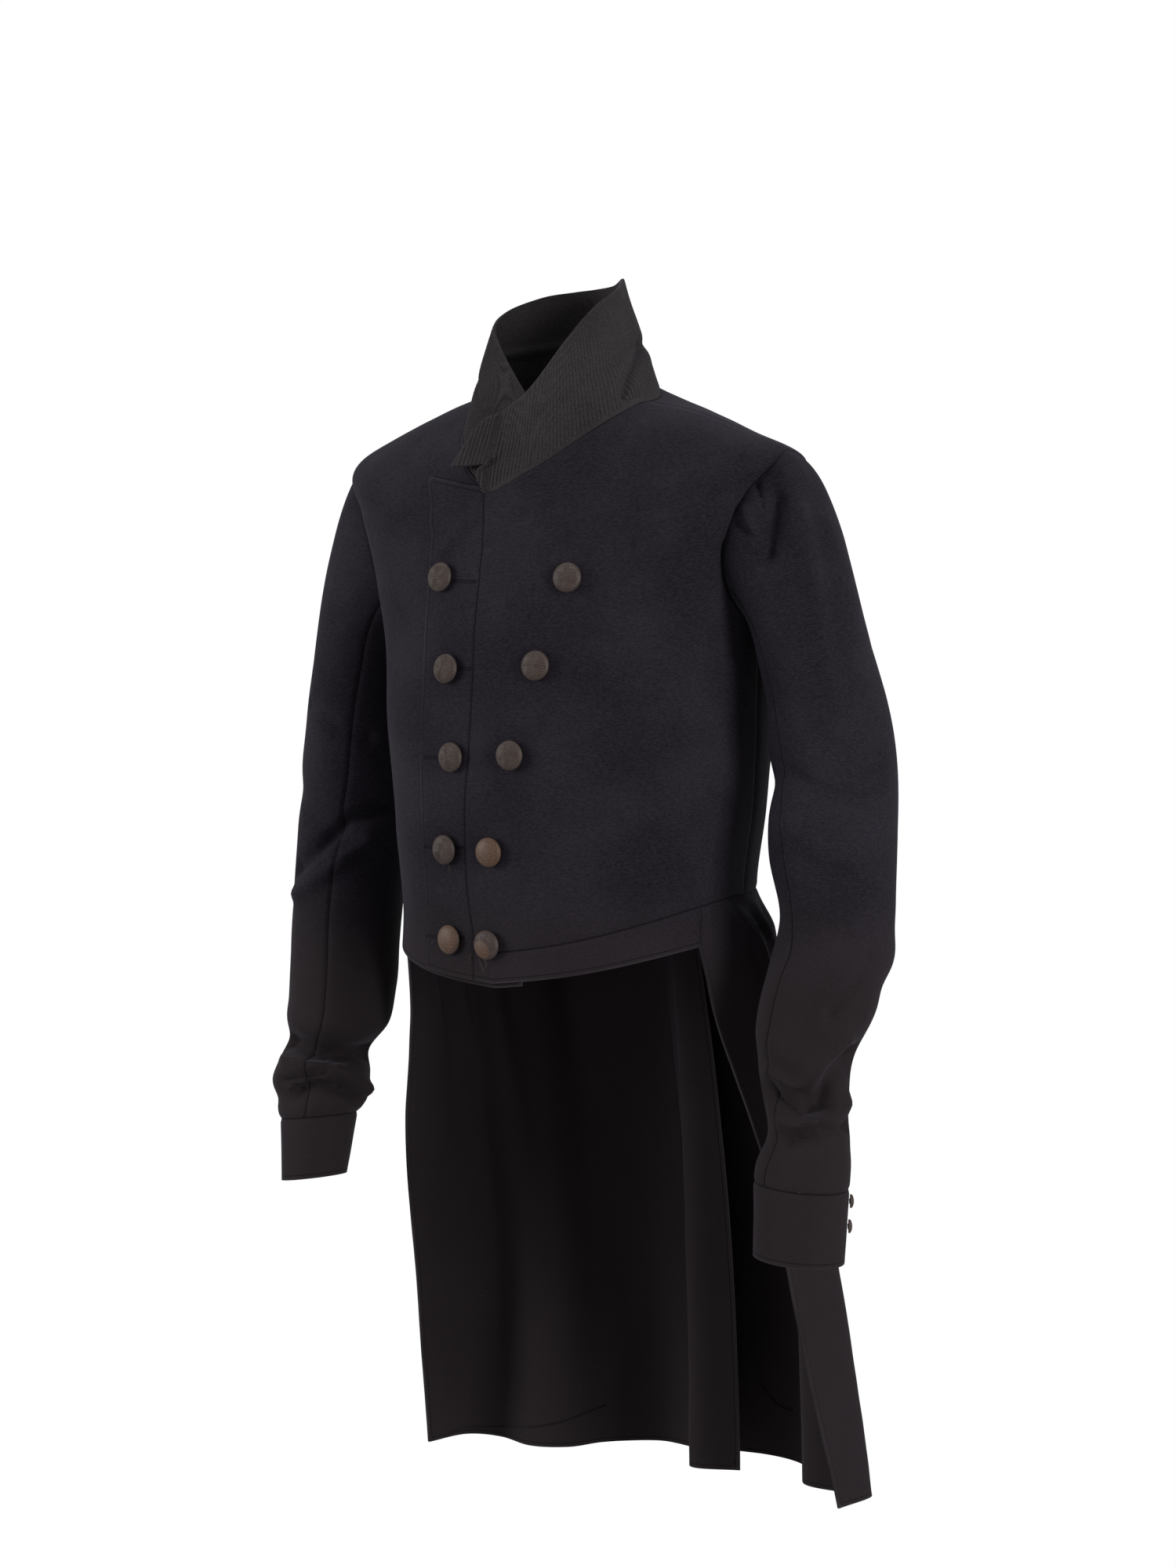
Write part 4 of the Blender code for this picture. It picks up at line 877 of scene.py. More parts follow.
def tail_edge(corner, side):
    """Front edge of a tail from the band's corner down to the hem, ending where the hem begins."""
    hem = LEFT_HEM[0] if side > 0 else RIGHT_HEM[0]
    edge = np.array([tuple(corner)] + [(row.x * side, row.y, row.z) for row in TAIL_FRONT_EDGE])
    share = ((edge[:, 2] - corner[2]) / (TAIL_HEM_Z - corner[2]))[:, None]
    edge[:, :2] += share * (np.array([hem.x * side, hem.y]) - edge[-1, :2])
    return edge


def vent_columns(side):
    """Angles and hem places of the vent flap, which the right tail has behind the left one."""
    if side > 0:
        return np.empty(0), np.empty((0, 2))
    share = np.linspace(0, 1, VENT_COLUMNS + 1)[1:]
    plan = np.array(VENT_HEM)
    return 180.0 + VENT_ANGLE * share, through(plan[:, 0], plan[:, 1:], share)


def pleat_lift(across, drop):
    """How far the pleats stand out along a row of a tail, fading towards the hem."""
    swell = smooth_step(drop, 0, PLEAT_GROWTH) * (1 - smooth_step(drop, PLEAT_GROWTH, PLEAT_FADE))
    bumps = [pleat.depth * np.exp(-(((across - pleat.across) / pleat.width) ** 2)) for pleat in PLEATS]
    return swell * sum(bumps)


def tail_grid(side, band_outer):
    """Outer points of a tail, rows from the waist seam down to the hem."""
    angles = tail_angles(side)
    across = (angles - angles[0]) / (180.0 - angles[0])
    hem = np.array(LEFT_HEM if side > 0 else RIGHT_HEM)
    plan = through(hem[:, 0], hem[:, 1:], across)
    top = waist_points(angles, side)[0]
    flap_angles, flap_plan = vent_columns(side)
    angles = np.concatenate([angles, flap_angles])
    across = np.concatenate([across, np.ones(len(flap_angles))])
    plan = np.concatenate([plan, flap_plan]) * (side, 1)
    inset = VENT_INSET * smooth_step(angles, 180.0 - VENT_RAMP, 180.0) * (side < 0)
    top = np.concatenate([top, bodice(flap_angles * side, np.zeros_like(flap_angles))])
    top -= bodice_normal(angles * side, np.zeros_like(angles)) * inset[:, None]
    corner = band_outer[-1, -1]
    edge = tail_edge(corner, side)
    outward = unit((top - (0, BACK_CENTRE, 0)) * (1, 1, 0))
    rows = []
    for row in range(BAND_ROWS + TAIL_ROWS + 1):
        if row <= BAND_ROWS:
            front = band_outer[row, -1]
        else:
            z = corner[2] + (TAIL_HEM_Z - corner[2]) * (row - BAND_ROWS) / TAIL_ROWS
            front = through(-edge[:, 2], edge, [-z])[0]
        drop = (top[0, 2] - front[2]) / (top[0, 2] - TAIL_HEM_Z)
        blend = drop * (1 + TAIL_FLARE * (1 - drop))
        line = np.column_stack([top[:, :2] * (1 - blend) + plan * blend, top[:, 2]])
        line[:, 2] += (TAIL_HEM_Z - top[:, 2]) * drop
        line += (front - line[0]) * (1 - smooth_step(across, 0, EDGE_REACH))[:, None]
        rows.append(line + outward * pleat_lift(across, drop)[:, None])
    return np.array(rows)


def skirt(name, side, material):
    """Band and tail in one piece, the right one with its vent flap."""
    band_outer, band_inner = band_grids(side)
    tail_outer = tail_grid(side, band_outer)
    tail_inner = tail_outer + grid_normals(tail_outer) * WALL * side
    own = len(tail_angles(side))
    solid = own if side > 0 else int(np.sum(tail_angles(side) < 180.0 - VENT_RAMP))
    tail_inner[0, :solid] = waist_points(tail_angles(side), side)[1][:solid]
    tail_inner[: BAND_ROWS + 1, 0] = band_inner[:, -1]
    for grid in (band_outer, band_inner, tail_outer, tail_inner):
        grid[0] += HALF_GAP_DOWN
    if side > 0:
        band_outer, band_inner = (pulled_in(grid, ["left"]) for grid in (band_outer, band_inner))
        tail_outer, tail_inner = (pulled_in(grid, ["right"]) for grid in (tail_outer, tail_inner))
    return wall(name, [(band_outer, band_inner), (tail_outer, tail_inner)], material)


def neck_edge():
    """Angles and outer and inner points all round the neck seam, from the left front on."""
    fronts = {side: steps(front_edge(side)[-1], (NECK_POINT, 1.0), NECK_FRONT_ROWS) for side in (1, -1)}
    back = steps((NECK_POINT, 1.0), (180.0, 1.0), NECK_BACK_ROWS)
    left = np.concatenate([fronts[1], back[1:]])
    right = np.concatenate([fronts[-1], back[1:-1]])[::-1]
    points = []
    for cut, side in ((left, 1), (right, -1)):
        outer, inner = faces_of(cut, side)
        below = cut - (0, HEIGHT_STEP)
        rise = unit(outer - faces_of(below, side)[0]) * SEAM_GAP / 2
        points.append((outer + rise, inner + rise))
    angles = np.concatenate([left[:, 0], 360 - right[:, 0]])
    return angles, np.concatenate([points[0][0], points[1][0]]), np.concatenate([points[0][1], points[1][1]])


def picture(points):
    """Places of points in the picture, and their distance along the view."""
    across = points[..., 0] * math.cos(AZIMUTH) + points[..., 1] * math.sin(AZIMUTH)
    depth = DISTANCE - points[..., 0] * math.sin(AZIMUTH) + points[..., 1] * math.cos(AZIMUTH)
    x = FRAME_SIZE[0] / 2 + FOCAL_PIXELS * (across - CAMERA_ACROSS) / depth
    y = FRAME_SIZE[1] / 2 - FOCAL_PIXELS * (points[..., 2] - CAMERA_HEIGHT) / depth
    return np.stack([x, y], axis=-1), depth


def view_point():
    """Place of the camera."""
    return np.array(
        [
            math.sin(AZIMUTH) * DISTANCE + math.cos(AZIMUTH) * CAMERA_ACROSS,
            -math.cos(AZIMUTH) * DISTANCE + math.sin(AZIMUTH) * CAMERA_ACROSS,
            CAMERA_HEIGHT,
        ]
    )


def view_ray(place):
    """Direction from the camera through a place in the picture."""
    right = np.array([math.cos(AZIMUTH), math.sin(AZIMUTH), 0])
    ahead = np.array([-math.sin(AZIMUTH), math.cos(AZIMUTH), 0])
    x = (place[0] - FRAME_SIZE[0] / 2) / FOCAL_PIXELS
    y = (FRAME_SIZE[1] / 2 - place[1]) / FOCAL_PIXELS
    return unit(ahead + right * x + np.array([0, 0, y]))


def line_distance(places, line):
    """Distance of each place from a line of straight stretches."""
    best = np.full(len(places), np.inf)
    for start, end in zip(line[:-1], line[1:]):
        start, along = np.array(start, float), np.subtract(end, start)
        share = np.clip(((places - start) @ along) / (along @ along), 0, 1)
        best = np.minimum(best, np.linalg.norm(places - start - share[:, None] * along, axis=1))
    return best


def crease_heights(name, points, outward):
    """How far each point of a piece is raised or sunk by its creases."""
    total = np.zeros(len(points))
    mine = [crease for pieces, creases in CREASES.items() if name in pieces for crease in creases]
    places, _ = picture(points)
    facing = smooth_step(np.sum(unit(view_point() - points) * outward, axis=1), FACING_LOW, FACING_HIGH)
    for crease in mine:
        total += crease.depth * np.exp(-((line_distance(places, crease.places) / crease.width) ** 2))
    return total * facing


def waves(points):
    """Slow unevenness of the cloth at each point."""
    slow = [noise.noise(Vector(point) / WAVE_SIZE) for point in points]
    quick = [noise.noise(Vector(point) / RIPPLE_SIZE) for point in points]
    return WAVE_HEIGHT * np.array(slow) + RIPPLE_HEIGHT * np.array(quick)


def dimples(name, points):
    """How far the cloth sinks round the front buttons."""
    total = np.zeros(len(points))
    if name in ("left_front", "lapel_strip"):
        for place in EDGE_BUTTONS + BREAST_BUTTONS:
            reach = np.hypot(points[:, 0] - place.x, points[:, 2] - place.z) / DIMPLE_REACH
            total -= DIMPLE_DEPTH * np.exp(-(reach**2))
    return total


def run_lengths(points):
    """Distance along a line of points, or along each column of a grid, from its first point."""
    spans = np.linalg.norm(np.diff(points, axis=0), axis=-1)
    return np.concatenate([np.zeros_like(spans[:1]), spans]).cumsum(axis=0)


def edge_distance(outer, sides):
    """Distance of each grid point from the nearest of the named sides, along the grid."""
    across, up = run_lengths(outer.swapaxes(0, 1)).T, run_lengths(outer)
    far = {"left": across, "right": across[:, -1:] - across, "bottom": up, "top": up[-1:] - up}
    return np.minimum.reduce([np.full(outer.shape[:2], EDGE_FAR)] + [far[side] for side in sides])


def new_mesh_object(name, verts, faces, material, values):
    """Object on the coat's body, with a number at each point for every named value."""
    mesh = bpy.data.meshes.new(name)
    mesh.from_pydata([tuple(point) for point in verts], [], faces)
    for key, numbers in values.items():
        carried = mesh.attributes.new(key, "FLOAT", "POINT")
        carried.data.foreach_set("value", np.asarray(numbers, np.float32))
    work = bmesh.new()
    work.from_mesh(mesh)
    bmesh.ops.recalc_face_normals(work, faces=work.faces)
    work.to_mesh(mesh)
    work.free()
    mesh.shade_smooth()
    mesh.set_sharp_from_angle(angle=SHARP_ANGLE)
    mesh.materials.append(material)
    obj = bpy.data.objects.new(name, mesh)
    bpy.context.scene.collection.objects.link(obj)
    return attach(obj, "root")


def weld(name, patches, wrapped, ribs):
    """Outer and inner points of a piece's patches without doubles, their values, and the faces outside."""
    index_of, outer_points, inner_points, quads = {}, [], [], []
    edge, sewn, ribbed = [], [], []
    free_sides = FREE_EDGES.get(name, [[]] * len(patches))
    for (outer, inner), free, seams in zip(patches, free_sides, SEWN_EDGES[name]):
        rows, columns = outer.shape[:2]
        distance, seam_distance = edge_distance(outer, free), edge_distance(outer, seams)
        index = np.empty((rows, columns), int)
        for place in np.ndindex(rows, columns):
            key = tuple(np.round(outer[place], WELD_DIGITS))
            if key not in index_of:
                index_of[key] = len(outer_points)
                outer_points.append(outer[place])
                inner_points.append(inner[place])
                edge.append(distance[place])
                sewn.append(seam_distance[place])
                ribbed.append(0.0 if ribs is None else ribs[place])
            index[place] = index_of[key]
        last = columns if wrapped else columns - 1
        for row, column in np.ndindex(rows - 1, last):
            after = (column + 1) % columns
            low, high = index[row], index[row + 1]
            quads.append([int(i) for i in (low[column], low[after], high[after], high[column])])
    values = {"edge": edge * 2, "sewn": sewn * 2, "rib": ribbed + [1.0] * len(ribbed)}
    return np.array(outer_points), np.array(inner_points), values, quads


def wall(name, patches, material, wrapped=False, ribs=None):
    """Cloth piece from patches of (outer, inner) grids, creased, in place of its solid."""
    outer, inner, values, quads = weld(name, patches, wrapped, ribs)
    count = len(outer)
    outward = unit(outer - inner)
    sunk = SEAM_SINK * np.exp(-((np.array(values["sewn"][:count]) / SEAM_REACH) ** 2))
    rise = crease_heights(name, outer, outward) + waves(outer) + dimples(name, outer) - sunk
    moved = outward * rise[:, None]
    known = set(pair for quad in quads for pair in zip(quad, quad[1:] + quad[:1]))
    rim = [[b, a, a + count, b + count] for a, b in known if (b, a) not in known]
    inside = [[i + count for i in reversed(quad)] for quad in quads]
    verts = np.concatenate([outer + moved, inner + moved])
    obj = new_mesh_object(name + "_cloth", verts, quads + inside + sorted(rim), material, values)
    return dress(obj, name)


def dress(obj, name):
    """Puts a cloth piece in place of its solid by hiding the solid; the sheet it was cut from is looked up
    but nothing is done with it.
    """
    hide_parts(name)
    cut = CUTS[name]
    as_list(cut.hangs_from)
    return obj


def rib_places(smooth, angles):
    """Distance round the neck at each point of the collar, the same all the way up an upright rib."""
    turns = np.degrees(np.arctan2(smooth[..., 0], COLLAR_CENTRE - smooth[..., 1]))
    turns = angles + (turns - angles + 180) % 360 - 180
    middle = smooth[COLLAR_ROWS // 2]
    along = run_lengths(middle)
    middle_turns = np.maximum.accumulate(turns[COLLAR_ROWS // 2])
    radius = math.hypot(middle[0, 0], middle[0, 1] - COLLAR_CENTRE)
    before, after = middle_turns[0] - FLAP_TURN, middle_turns[-1] + FLAP_TURN
    reach = radius * math.radians(FLAP_TURN)
    middle_turns = np.concatenate([[before], middle_turns, [after]])
    return np.interp(turns, middle_turns, np.concatenate([[-reach], along, [along[-1] + reach]]))


def collar_grids():
    """Outer points of the collar with its ribs, its plain inner points, and 0 in the rows between ribs, where
    the material paints shade.
    """
    knots, neck_outer, neck_inner = neck_edge()
    flap_end = knots[0] + COLLAR_END_REACH
    angles = np.linspace(flap_end, knots[-1], COLLAR_COLUMNS + 1)
    angles = np.concatenate([np.linspace(knots[0], flap_end, FLAP_COLUMNS + 1)[:-1], angles])
    table = np.array(COLLAR)
    top = through(table[:, 0], table[:, 1:], angles)
    low_outer, low_inner = on_polyline(angles, knots, neck_outer), on_polyline(angles, knots, neck_inner)
    front_end = np.array(COLLAR_END)
    rows = []
    for share in np.linspace(0, 1, COLLAR_ROWS + 1):
        line = low_outer + (top - low_outer) * share
        bulge = COLLAR_BULGE * math.sin(math.pi * share)
        bulge -= ROLL_DEPTH * math.exp(-(((share - ROLL_SHARE) / ROLL_WIDTH) ** 2))
        ease = smooth_step(angles, *BULGE_START) * (1 - smooth_step(angles, *BULGE_END))
        line += unit((line - (0, COLLAR_CENTRE, 0)) * (1, 1, 0)) * (bulge * ease)[:, None]
        end = on_polyline([share], front_end[:, 0], front_end[:, 1:])[0] if share > 0 else low_outer[0]
        weight = np.clip(1 - (angles - angles[0]) / COLLAR_END_REACH, 0, 1)
        line += (end - line[0]) * weight[:, None]
        rows.append(line)
    smooth = np.array(rows)
    normals = grid_normals(smooth)
    inner = smooth - normals * WALL
    inner[0] = low_inner
    along = rib_places(smooth, angles)
    fade = smooth_step(edge_distance(smooth, ["bottom"]), 0, RIB_FADE_LOW)
    fade *= smooth_step(edge_distance(smooth, ["top"]), 0, RIB_FADE_HIGH)
    wave = 0.5 - 0.5 * np.cos(2 * np.pi * along / RIB_PITCH)
    return smooth + normals * (RIB_RISE * wave * fade)[..., None], inner, 1 - (1 - wave) * fade


def ring_points(ring, theta, tilt):
    """Points of one level section of a sleeve, theta turning from its front over its outer side."""
    turn = np.radians(theta)
    x = ring.x + ring.half_x * np.sin(turn)
    y = ring.y - ring.half_y * np.cos(turn)
    return np.stack([x, y, ring.z - tilt * np.sin(turn)], axis=-1)


def fold_height(folds, theta, z):
    """How far the folds raise or sink a sleeve at an angle and height."""
    total = np.zeros_like(theta)
    for fold in folds:
        turn = (theta - fold.angle + 180) % 360 - 180
        line = fold.z + fold.slant * np.radians(turn)
        across = (z - line) / fold.height
        reach = np.exp(-((turn / fold.width) ** 2))
        ridge = FOLD_RIDGE * np.exp(-((across - RIDGE_PLACE) ** 2))
        total -= fold.depth * reach * (np.exp(-(across**2)) - ridge)
    return total


def seam_angle(side_column, z):
    """Angle of a sleeve's seam at a height."""
    table = np.array(SLEEVE_SEAMS)
    return through(-table[:, 0], table[:, side_column], [-z])[0]


def sleeve_angles(z):
    """Angles of a sleeve's columns at a height, evenly spaced on the top and the under piece."""
    front, hind = seam_angle(1, z), seam_angle(2, z)
    top = np.linspace(front, hind, HALF_SLEEVE_COLUMNS + 1)
    return np.concatenate([top, np.linspace(hind, front + 360, HALF_SLEEVE_COLUMNS + 1)[1:-1]])


def sleeve_start(side):
    """Outer and inner points all round the armhole, in the sleeve's own positive x."""
    own = np.array([side, 1, 1])
    hole = armhole(90 - HEAD_FRONT_SEAM - ARM_STEP * np.arange(2 * HALF_SLEEVE_COLUMNS))
    outer, inner = faces_of(hole, side)
    middle = np.array([ARM_ANGLE, ARM_HEIGHT])
    toward = unit(faces_of(hole + (middle - hole) * INWARD_SHARE, side)[0] - outer) * SEAM_GAP / 2
    return (outer + toward) * own, (inner + toward) * own


def sleeve_head(start, arm):
    """Rows from the armhole's points down to the first ring of the arm, bulging outward."""
    angles = sleeve_angles(arm[0].z)
    end = ring_points(arm[0], angles, 0)
    sine, cosine = np.sin(np.radians(angles)), np.cos(np.radians(angles))
    out = np.array(HEAD_OUTWARD) * np.stack([np.ones_like(cosine), cosine, np.ones_like(cosine)], axis=-1)
    out *= (HEAD_REACH + HEAD_REACH_TOP * sine)[:, None]
    fall = arm[0].z - arm[1].z
    down = np.array([(arm[1].x - arm[0].x) / fall, (arm[1].y - arm[0].y) / fall, -1.0])
    down = down * (ARM_REACH + ARM_REACH_TOP * sine)[:, None]
    rows = [start]
    for row in range(1, HEAD_RINGS + 1):
        u = row / HEAD_RINGS
        line = start * (1 + 2 * u) * (1 - u) ** 2 + out * u * (1 - u) ** 2
        rows.append(line + end * u**2 * (3 - 2 * u) + down * u**2 * (u - 1))
    return rows


def sleeve_rows(arm, folds, slant):
    """Rows down the arm from under its first ring to the cuff, with its folds."""
    table = np.array(arm)
    top, end = arm[0].z, arm[-1].z
    rows = []
    for z in np.linspace(top, end, ARM_ROWS + 1)[1:]:
        angles = sleeve_angles(z)
        ring = Ring(*through(-table[:, 0], table, [-z])[0])
        ease = smooth_step(-z, -top, -top + FOLD_EASE_TOP)
        ease *= 1 - smooth_step(-z, -end - FOLD_EASE_CUFF, -end)
        lift = fold_height(folds, angles, z) * ease
        line = ring_points(ring, angles, slant * smooth_step(-z, -ELBOW_Z, -end))
        turn = np.radians(angles)
        line += np.stack([np.sin(turn), -np.cos(turn), 0 * turn], axis=-1) * lift[:, None]
        rows.append(line)
    return rows


def sleeve_grids(side):
    """Outer and inner points of a whole sleeve in its own positive x, rows from armhole to cuff."""
    arm, folds, cuff = (LEFT_ARM, LEFT_FOLDS, LEFT_CUFF) if side > 0 else (RIGHT_ARM, RIGHT_FOLDS, RIGHT_CUFF)
    start, start_inner = sleeve_start(side)
    outer = np.array(sleeve_head(start, arm) + sleeve_rows(arm, folds, cuff.slant))
    inner = outer + grid_normals(outer, wrapped=True) * WALL
    inner[0] = start_inner
    return outer, inner


def sleeve(word, side, material):
    """Top and under piece of a sleeve, and the ring of points that its cuff starts from."""
    own = np.array([side, 1, 1])
    outer, inner = (grid * own for grid in sleeve_grids(side))
    half = HALF_SLEEVE_COLUMNS
    top = [grid[:, : half + 1] for grid in (outer, inner)]
    under = [np.concatenate([grid[:, half:], grid[:, :1]], axis=1) for grid in (outer, inner)]
    for name, grids in ((word + "_top_sleeve", top), (word + "_under_sleeve", under)):
        wall(name, [tuple(pulled_in(grid, ["left", "right", "top"]) for grid in grids)], material)
    return outer[-1], inner[-1]


def cuff_size(side):
    """Last ring of a sleeve, the lower ring of its cuff, and how far both slant."""
    size = LEFT_CUFF if side > 0 else RIGHT_CUFF
    arm = LEFT_ARM[-1] if side > 0 else RIGHT_ARM[-1]
    return arm, Ring(size.end_z, size.end_x, size.end_y, size.end_half_x, size.end_half_y), size.slant


def cuff(word, side, start, material):
    """Cuff under a sleeve, from the sleeve's last outer and inner points."""
    arm, lower, slant = cuff_size(side)
    end = ring_points(lower, sleeve_angles(arm.z), slant) * (side, 1, 1)
    outer, inner = start
    rows = [outer + HALF_GAP_DOWN]
    rows += [outer + (end - outer) * share for share in steps(0, 1, CUFF_ROWS)[1:]]
    outer_grid = np.array(rows)
    inner_grid = outer_grid + grid_normals(outer_grid, wrapped=True) * WALL * side
    inner_grid[0] = inner + HALF_GAP_DOWN
    wall(word + "_cuff", [(outer_grid, inner_grid)], material, wrapped=True)


def surface_place(x, z):
    """(angle, height) of the bodice's point with the given x and z, by a few Newton steps."""
    waist, breast = LEVELS[1], LEVELS[4]
    height = breast.height * (z - waist.z_front) / (breast.z_front - waist.z_front)
    place = np.array([math.degrees(math.asin(x / waist.half_left)), height])
    for _ in range(NEWTON_STEPS):
        here = bodice(*place)[[0, 2]]
        slope_angle = (bodice(place[0] + ANGLE_TRIAL, place[1])[[0, 2]] - here) / ANGLE_TRIAL
        slope_height = (bodice(place[0], place[1] + HEIGHT_TRIAL)[[0, 2]] - here) / HEIGHT_TRIAL
        slopes = np.column_stack([slope_angle, slope_height])
        place = place + np.linalg.solve(slopes, np.array([x, z]) - here)
    return place


def ring_faces(rings, sides, start=0):
    """Four-sided faces between neighbouring rings of equally many points."""
    faces = []
    for ring in range(rings - 1):
        low, high = start + ring * sides, start + (ring + 1) * sides
        for side in range(sides):
            after = (side + 1) % sides
            faces.append([low + side, low + after, high + after, high + side])
    return faces


def button_grid(scale, turn, worn):
    """Points, faces and values of a thread-wrapped button, its threads in four sectors."""
    reaches = BUTTON_REACH * np.sin(np.linspace(0, math.pi / 2, BUTTON_RINGS + 1)[1:])
    turns = np.linspace(0, 2 * math.pi, BUTTON_SIDES, endpoint=False)
    reach, theta = np.meshgrid(reaches, turns, indexing="ij")
    rise = BUTTON_RIM + BUTTON_DOME * np.sqrt(np.clip(1 - (reach / BUTTON_REACH) ** 2, 0, 1))
    u, v = np.abs(reach * np.cos(theta + turn)), np.abs(reach * np.sin(theta + turn))
    ridge = 0.5 + 0.5 * np.cos(2 * math.pi * np.minimum(u, v) / THREAD_PITCH)
    patch = Vector((worn.x, worn.y, 0)) * BUTTON_REACH
    away = np.hypot(reach * np.cos(theta) - patch.x, reach * np.sin(theta) - patch.y) / BUTTON_REACH
    bare = np.zeros_like(away)
    if worn.reach > 0:
        bare = 1 - smooth_step(away, worn.reach * WORN_CORE, worn.reach)
    rise = rise + THREAD_RISE * ridge * (1 - WORN_FLATTENING * bare)
    dome = np.stack([reach * np.cos(theta), reach * np.sin(theta), rise], axis=-1)
    under = [dome[-1] * (factor, factor, 0) + (0, 0, height) for factor, height in BUTTON_UNDER]
    rings = np.concatenate([dome, np.array(under)]) * scale
    crown = (0, 0, (BUTTON_RIM + BUTTON_DOME) * scale)
    verts = np.concatenate([[crown], rings.reshape(-1, 3), [(0, 0, 0)]])
    faces = ring_faces(len(rings), BUTTON_SIDES, 1)
    last = 1 + (len(rings) - 1) * BUTTON_SIDES
    for side in range(BUTTON_SIDES):
        after = (side + 1) % BUTTON_SIDES
        faces.append([0, 1 + side, 1 + after])
        faces.append([len(verts) - 1, last + after, last + side])
    spare = np.zeros(len(under) * BUTTON_SIDES + 1)
    values = {
        "ridge": np.concatenate([[1.0], ridge.ravel(), spare]),
        "bare": np.concatenate([[bare[0, 0]], bare.ravel(), spare]),
    }
    return verts, faces, values


def add_button(name, scale, point, outward, turn, worn, tilt, material):
    """Button in place of its solid, standing on the cloth at the point."""
    verts, faces, values = button_grid(scale, turn, worn)
    lean = Matrix.Rotation(math.radians(tilt), 3, "Z")
    frame_of = np.array(Vector(outward).to_track_quat("Z", "Y").to_matrix() @ lean)
    placed = verts @ frame_of.T + point + outward * SEAM_GAP
    obj = new_mesh_object(name + "_wrapped", placed, faces, material, values)
    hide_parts(name)


def tube(points, radius, sides):
    """Points and faces of a round thread along a line, closed at both ends."""
    points = np.asarray(points, float)
    along = unit(np.gradient(points, axis=0))
    side = unit(np.cross(along, SLANT_UP))
    up = np.cross(along, side)
    turns = np.linspace(0, 2 * math.pi, sides, endpoint=False)
    spokes = np.cos(turns)[:, None] * side[:, None] + np.sin(turns)[:, None] * up[:, None]
    last = (len(points) - 1) * sides
    ends = [list(range(sides)), [last + column for column in reversed(range(sides))]]
    return (points[:, None] + radius * spokes).reshape(-1, 3), ring_faces(len(points), sides) + ends


def add_threads(name, lines, radius, material, sides=THREAD_SIDES):
    """One object with a round thread along each line."""
    verts, faces = [], []
    for line in lines:
        ring_verts, ring_faces = tube(line, radius, sides)
        start = sum(len(part) for part in verts)
        verts.append(ring_verts)
        faces += [[i + start for i in face] for face in ring_faces]
    obj = new_mesh_object(name, np.concatenate(verts), faces, material, {})
    return obj


def cloth_tree(objects):
    """Search tree over the faces of the cloth pieces."""
    verts, faces = [], []
    for obj in objects:
        start = len(verts)
        verts += [vertex.co.copy() for vertex in obj.data.vertices]
        faces += [[i + start for i in face.vertices] for face in obj.data.polygons]
    return BVHTree.FromPolygons(verts, faces)


def on_cloth(tree, place, lift):
    """Point just over the cloth that shows at a place in the picture, and the cloth's direction there."""
    direction = view_ray(place)
    point, normal, _, _ = tree.ray_cast(Vector(view_point()), Vector(direction))
    normal = np.array(normal)
    if normal @ direction > 0:
        normal = -normal
    return np.array(point) + normal * lift, normal


def buttonholes(tree, material):
    """A worked slit for each buttonhole: a ring of thread round it, with the slit sunk between."""
    rings = []
    for start, end in BUTTONHOLES:
        places = [np.add(start, np.subtract(end, start) * share) for share in np.linspace(0, 1, HOLE_STEPS)]
        found = [on_cloth(tree, place, HOLE_THREAD * THREAD_LIFT) for place in places]
        middle = np.array([point for point, _ in found])
        outward = found[HOLE_STEPS // 2][1]
        across = unit(np.cross(outward, middle[-1] - middle[0])) * HOLE_HALF_WIDTH
        rings += [middle + across, middle - across]
        rings += [[middle[i] + across, middle[i], middle[i] - across] for i in (0, -1)]
    add_threads("buttonhole_threads", rings, HOLE_THREAD, material)


def finer(line, count):
    """Smooth line of count points through the given ones."""
    return through(range(len(line)), line, np.linspace(0, len(line) - 1, count))


def picture_threads(tree, material, cloth):
    """Frayed ends of button thread, and the felled edges of the facings."""
    frayed = [[on_cloth(tree, place, FRAY_LIFT)[0] for place in line] for line in FRAYED]
    frayed = [finer(line, FRAY_STEPS) for line in frayed]
    add_threads("frayed_threads", frayed, FRAY_RADIUS, material, FRAY_SIDES)
    felled = []
    for line in FACING_LINES:
        places = finer(line, FACING_STEPS * len(line))
        felled.append([on_cloth(tree, place, FACING_RADIUS * FACING_LIFT)[0] for place in places])
    add_threads("facing_edges", felled, FACING_RADIUS, cloth)


def feed(tree, socket, value):
    """Gives a socket a value, or links it to another node's output."""
    if isinstance(value, bpy.types.NodeSocket):
        tree.links.new(value, socket)
    else:
        socket.default_value = value


def add_node(tree, kind, inputs=None, **settings):
    """Shader node with its settings and inputs, where an input is a value or another node's output."""
    made = tree.nodes.new(kind)
    for key, value in settings.items():
        setattr(made, key, value)
    for key, value in (inputs or {}).items():
        feed(tree, made.inputs[key], value)
    return made


def maths(tree, operation, first, second=0.0):
    """Output of a sum of two numbers, each a value or an output."""
    return add_node(tree, "ShaderNodeMath", {0: first, 1: second}, operation=operation).outputs[0]


def mixed(tree, share, first, second):
    """Colour between two colours, each a colour or an output."""
    first, second = ((*colour, 1) if isinstance(colour, tuple) else colour for colour in (first, second))
    inputs = {MIX_SHARE: share, MIX_FIRST: first, MIX_SECOND: second}
    return add_node(tree, "ShaderNodeMix", inputs, data_type="RGBA").outputs[MIX_COLOUR]


def ranged(tree, value, low, high, low_to=0.0, high_to=1.0):
    """Number taken smoothly from one range to another."""
    inputs = {"Value": value, "From Min": low, "From Max": high, "To Min": low_to, "To Max": high_to}
    return add_node(tree, "ShaderNodeMapRange", inputs, interpolation_type="SMOOTHSTEP").outputs[0]


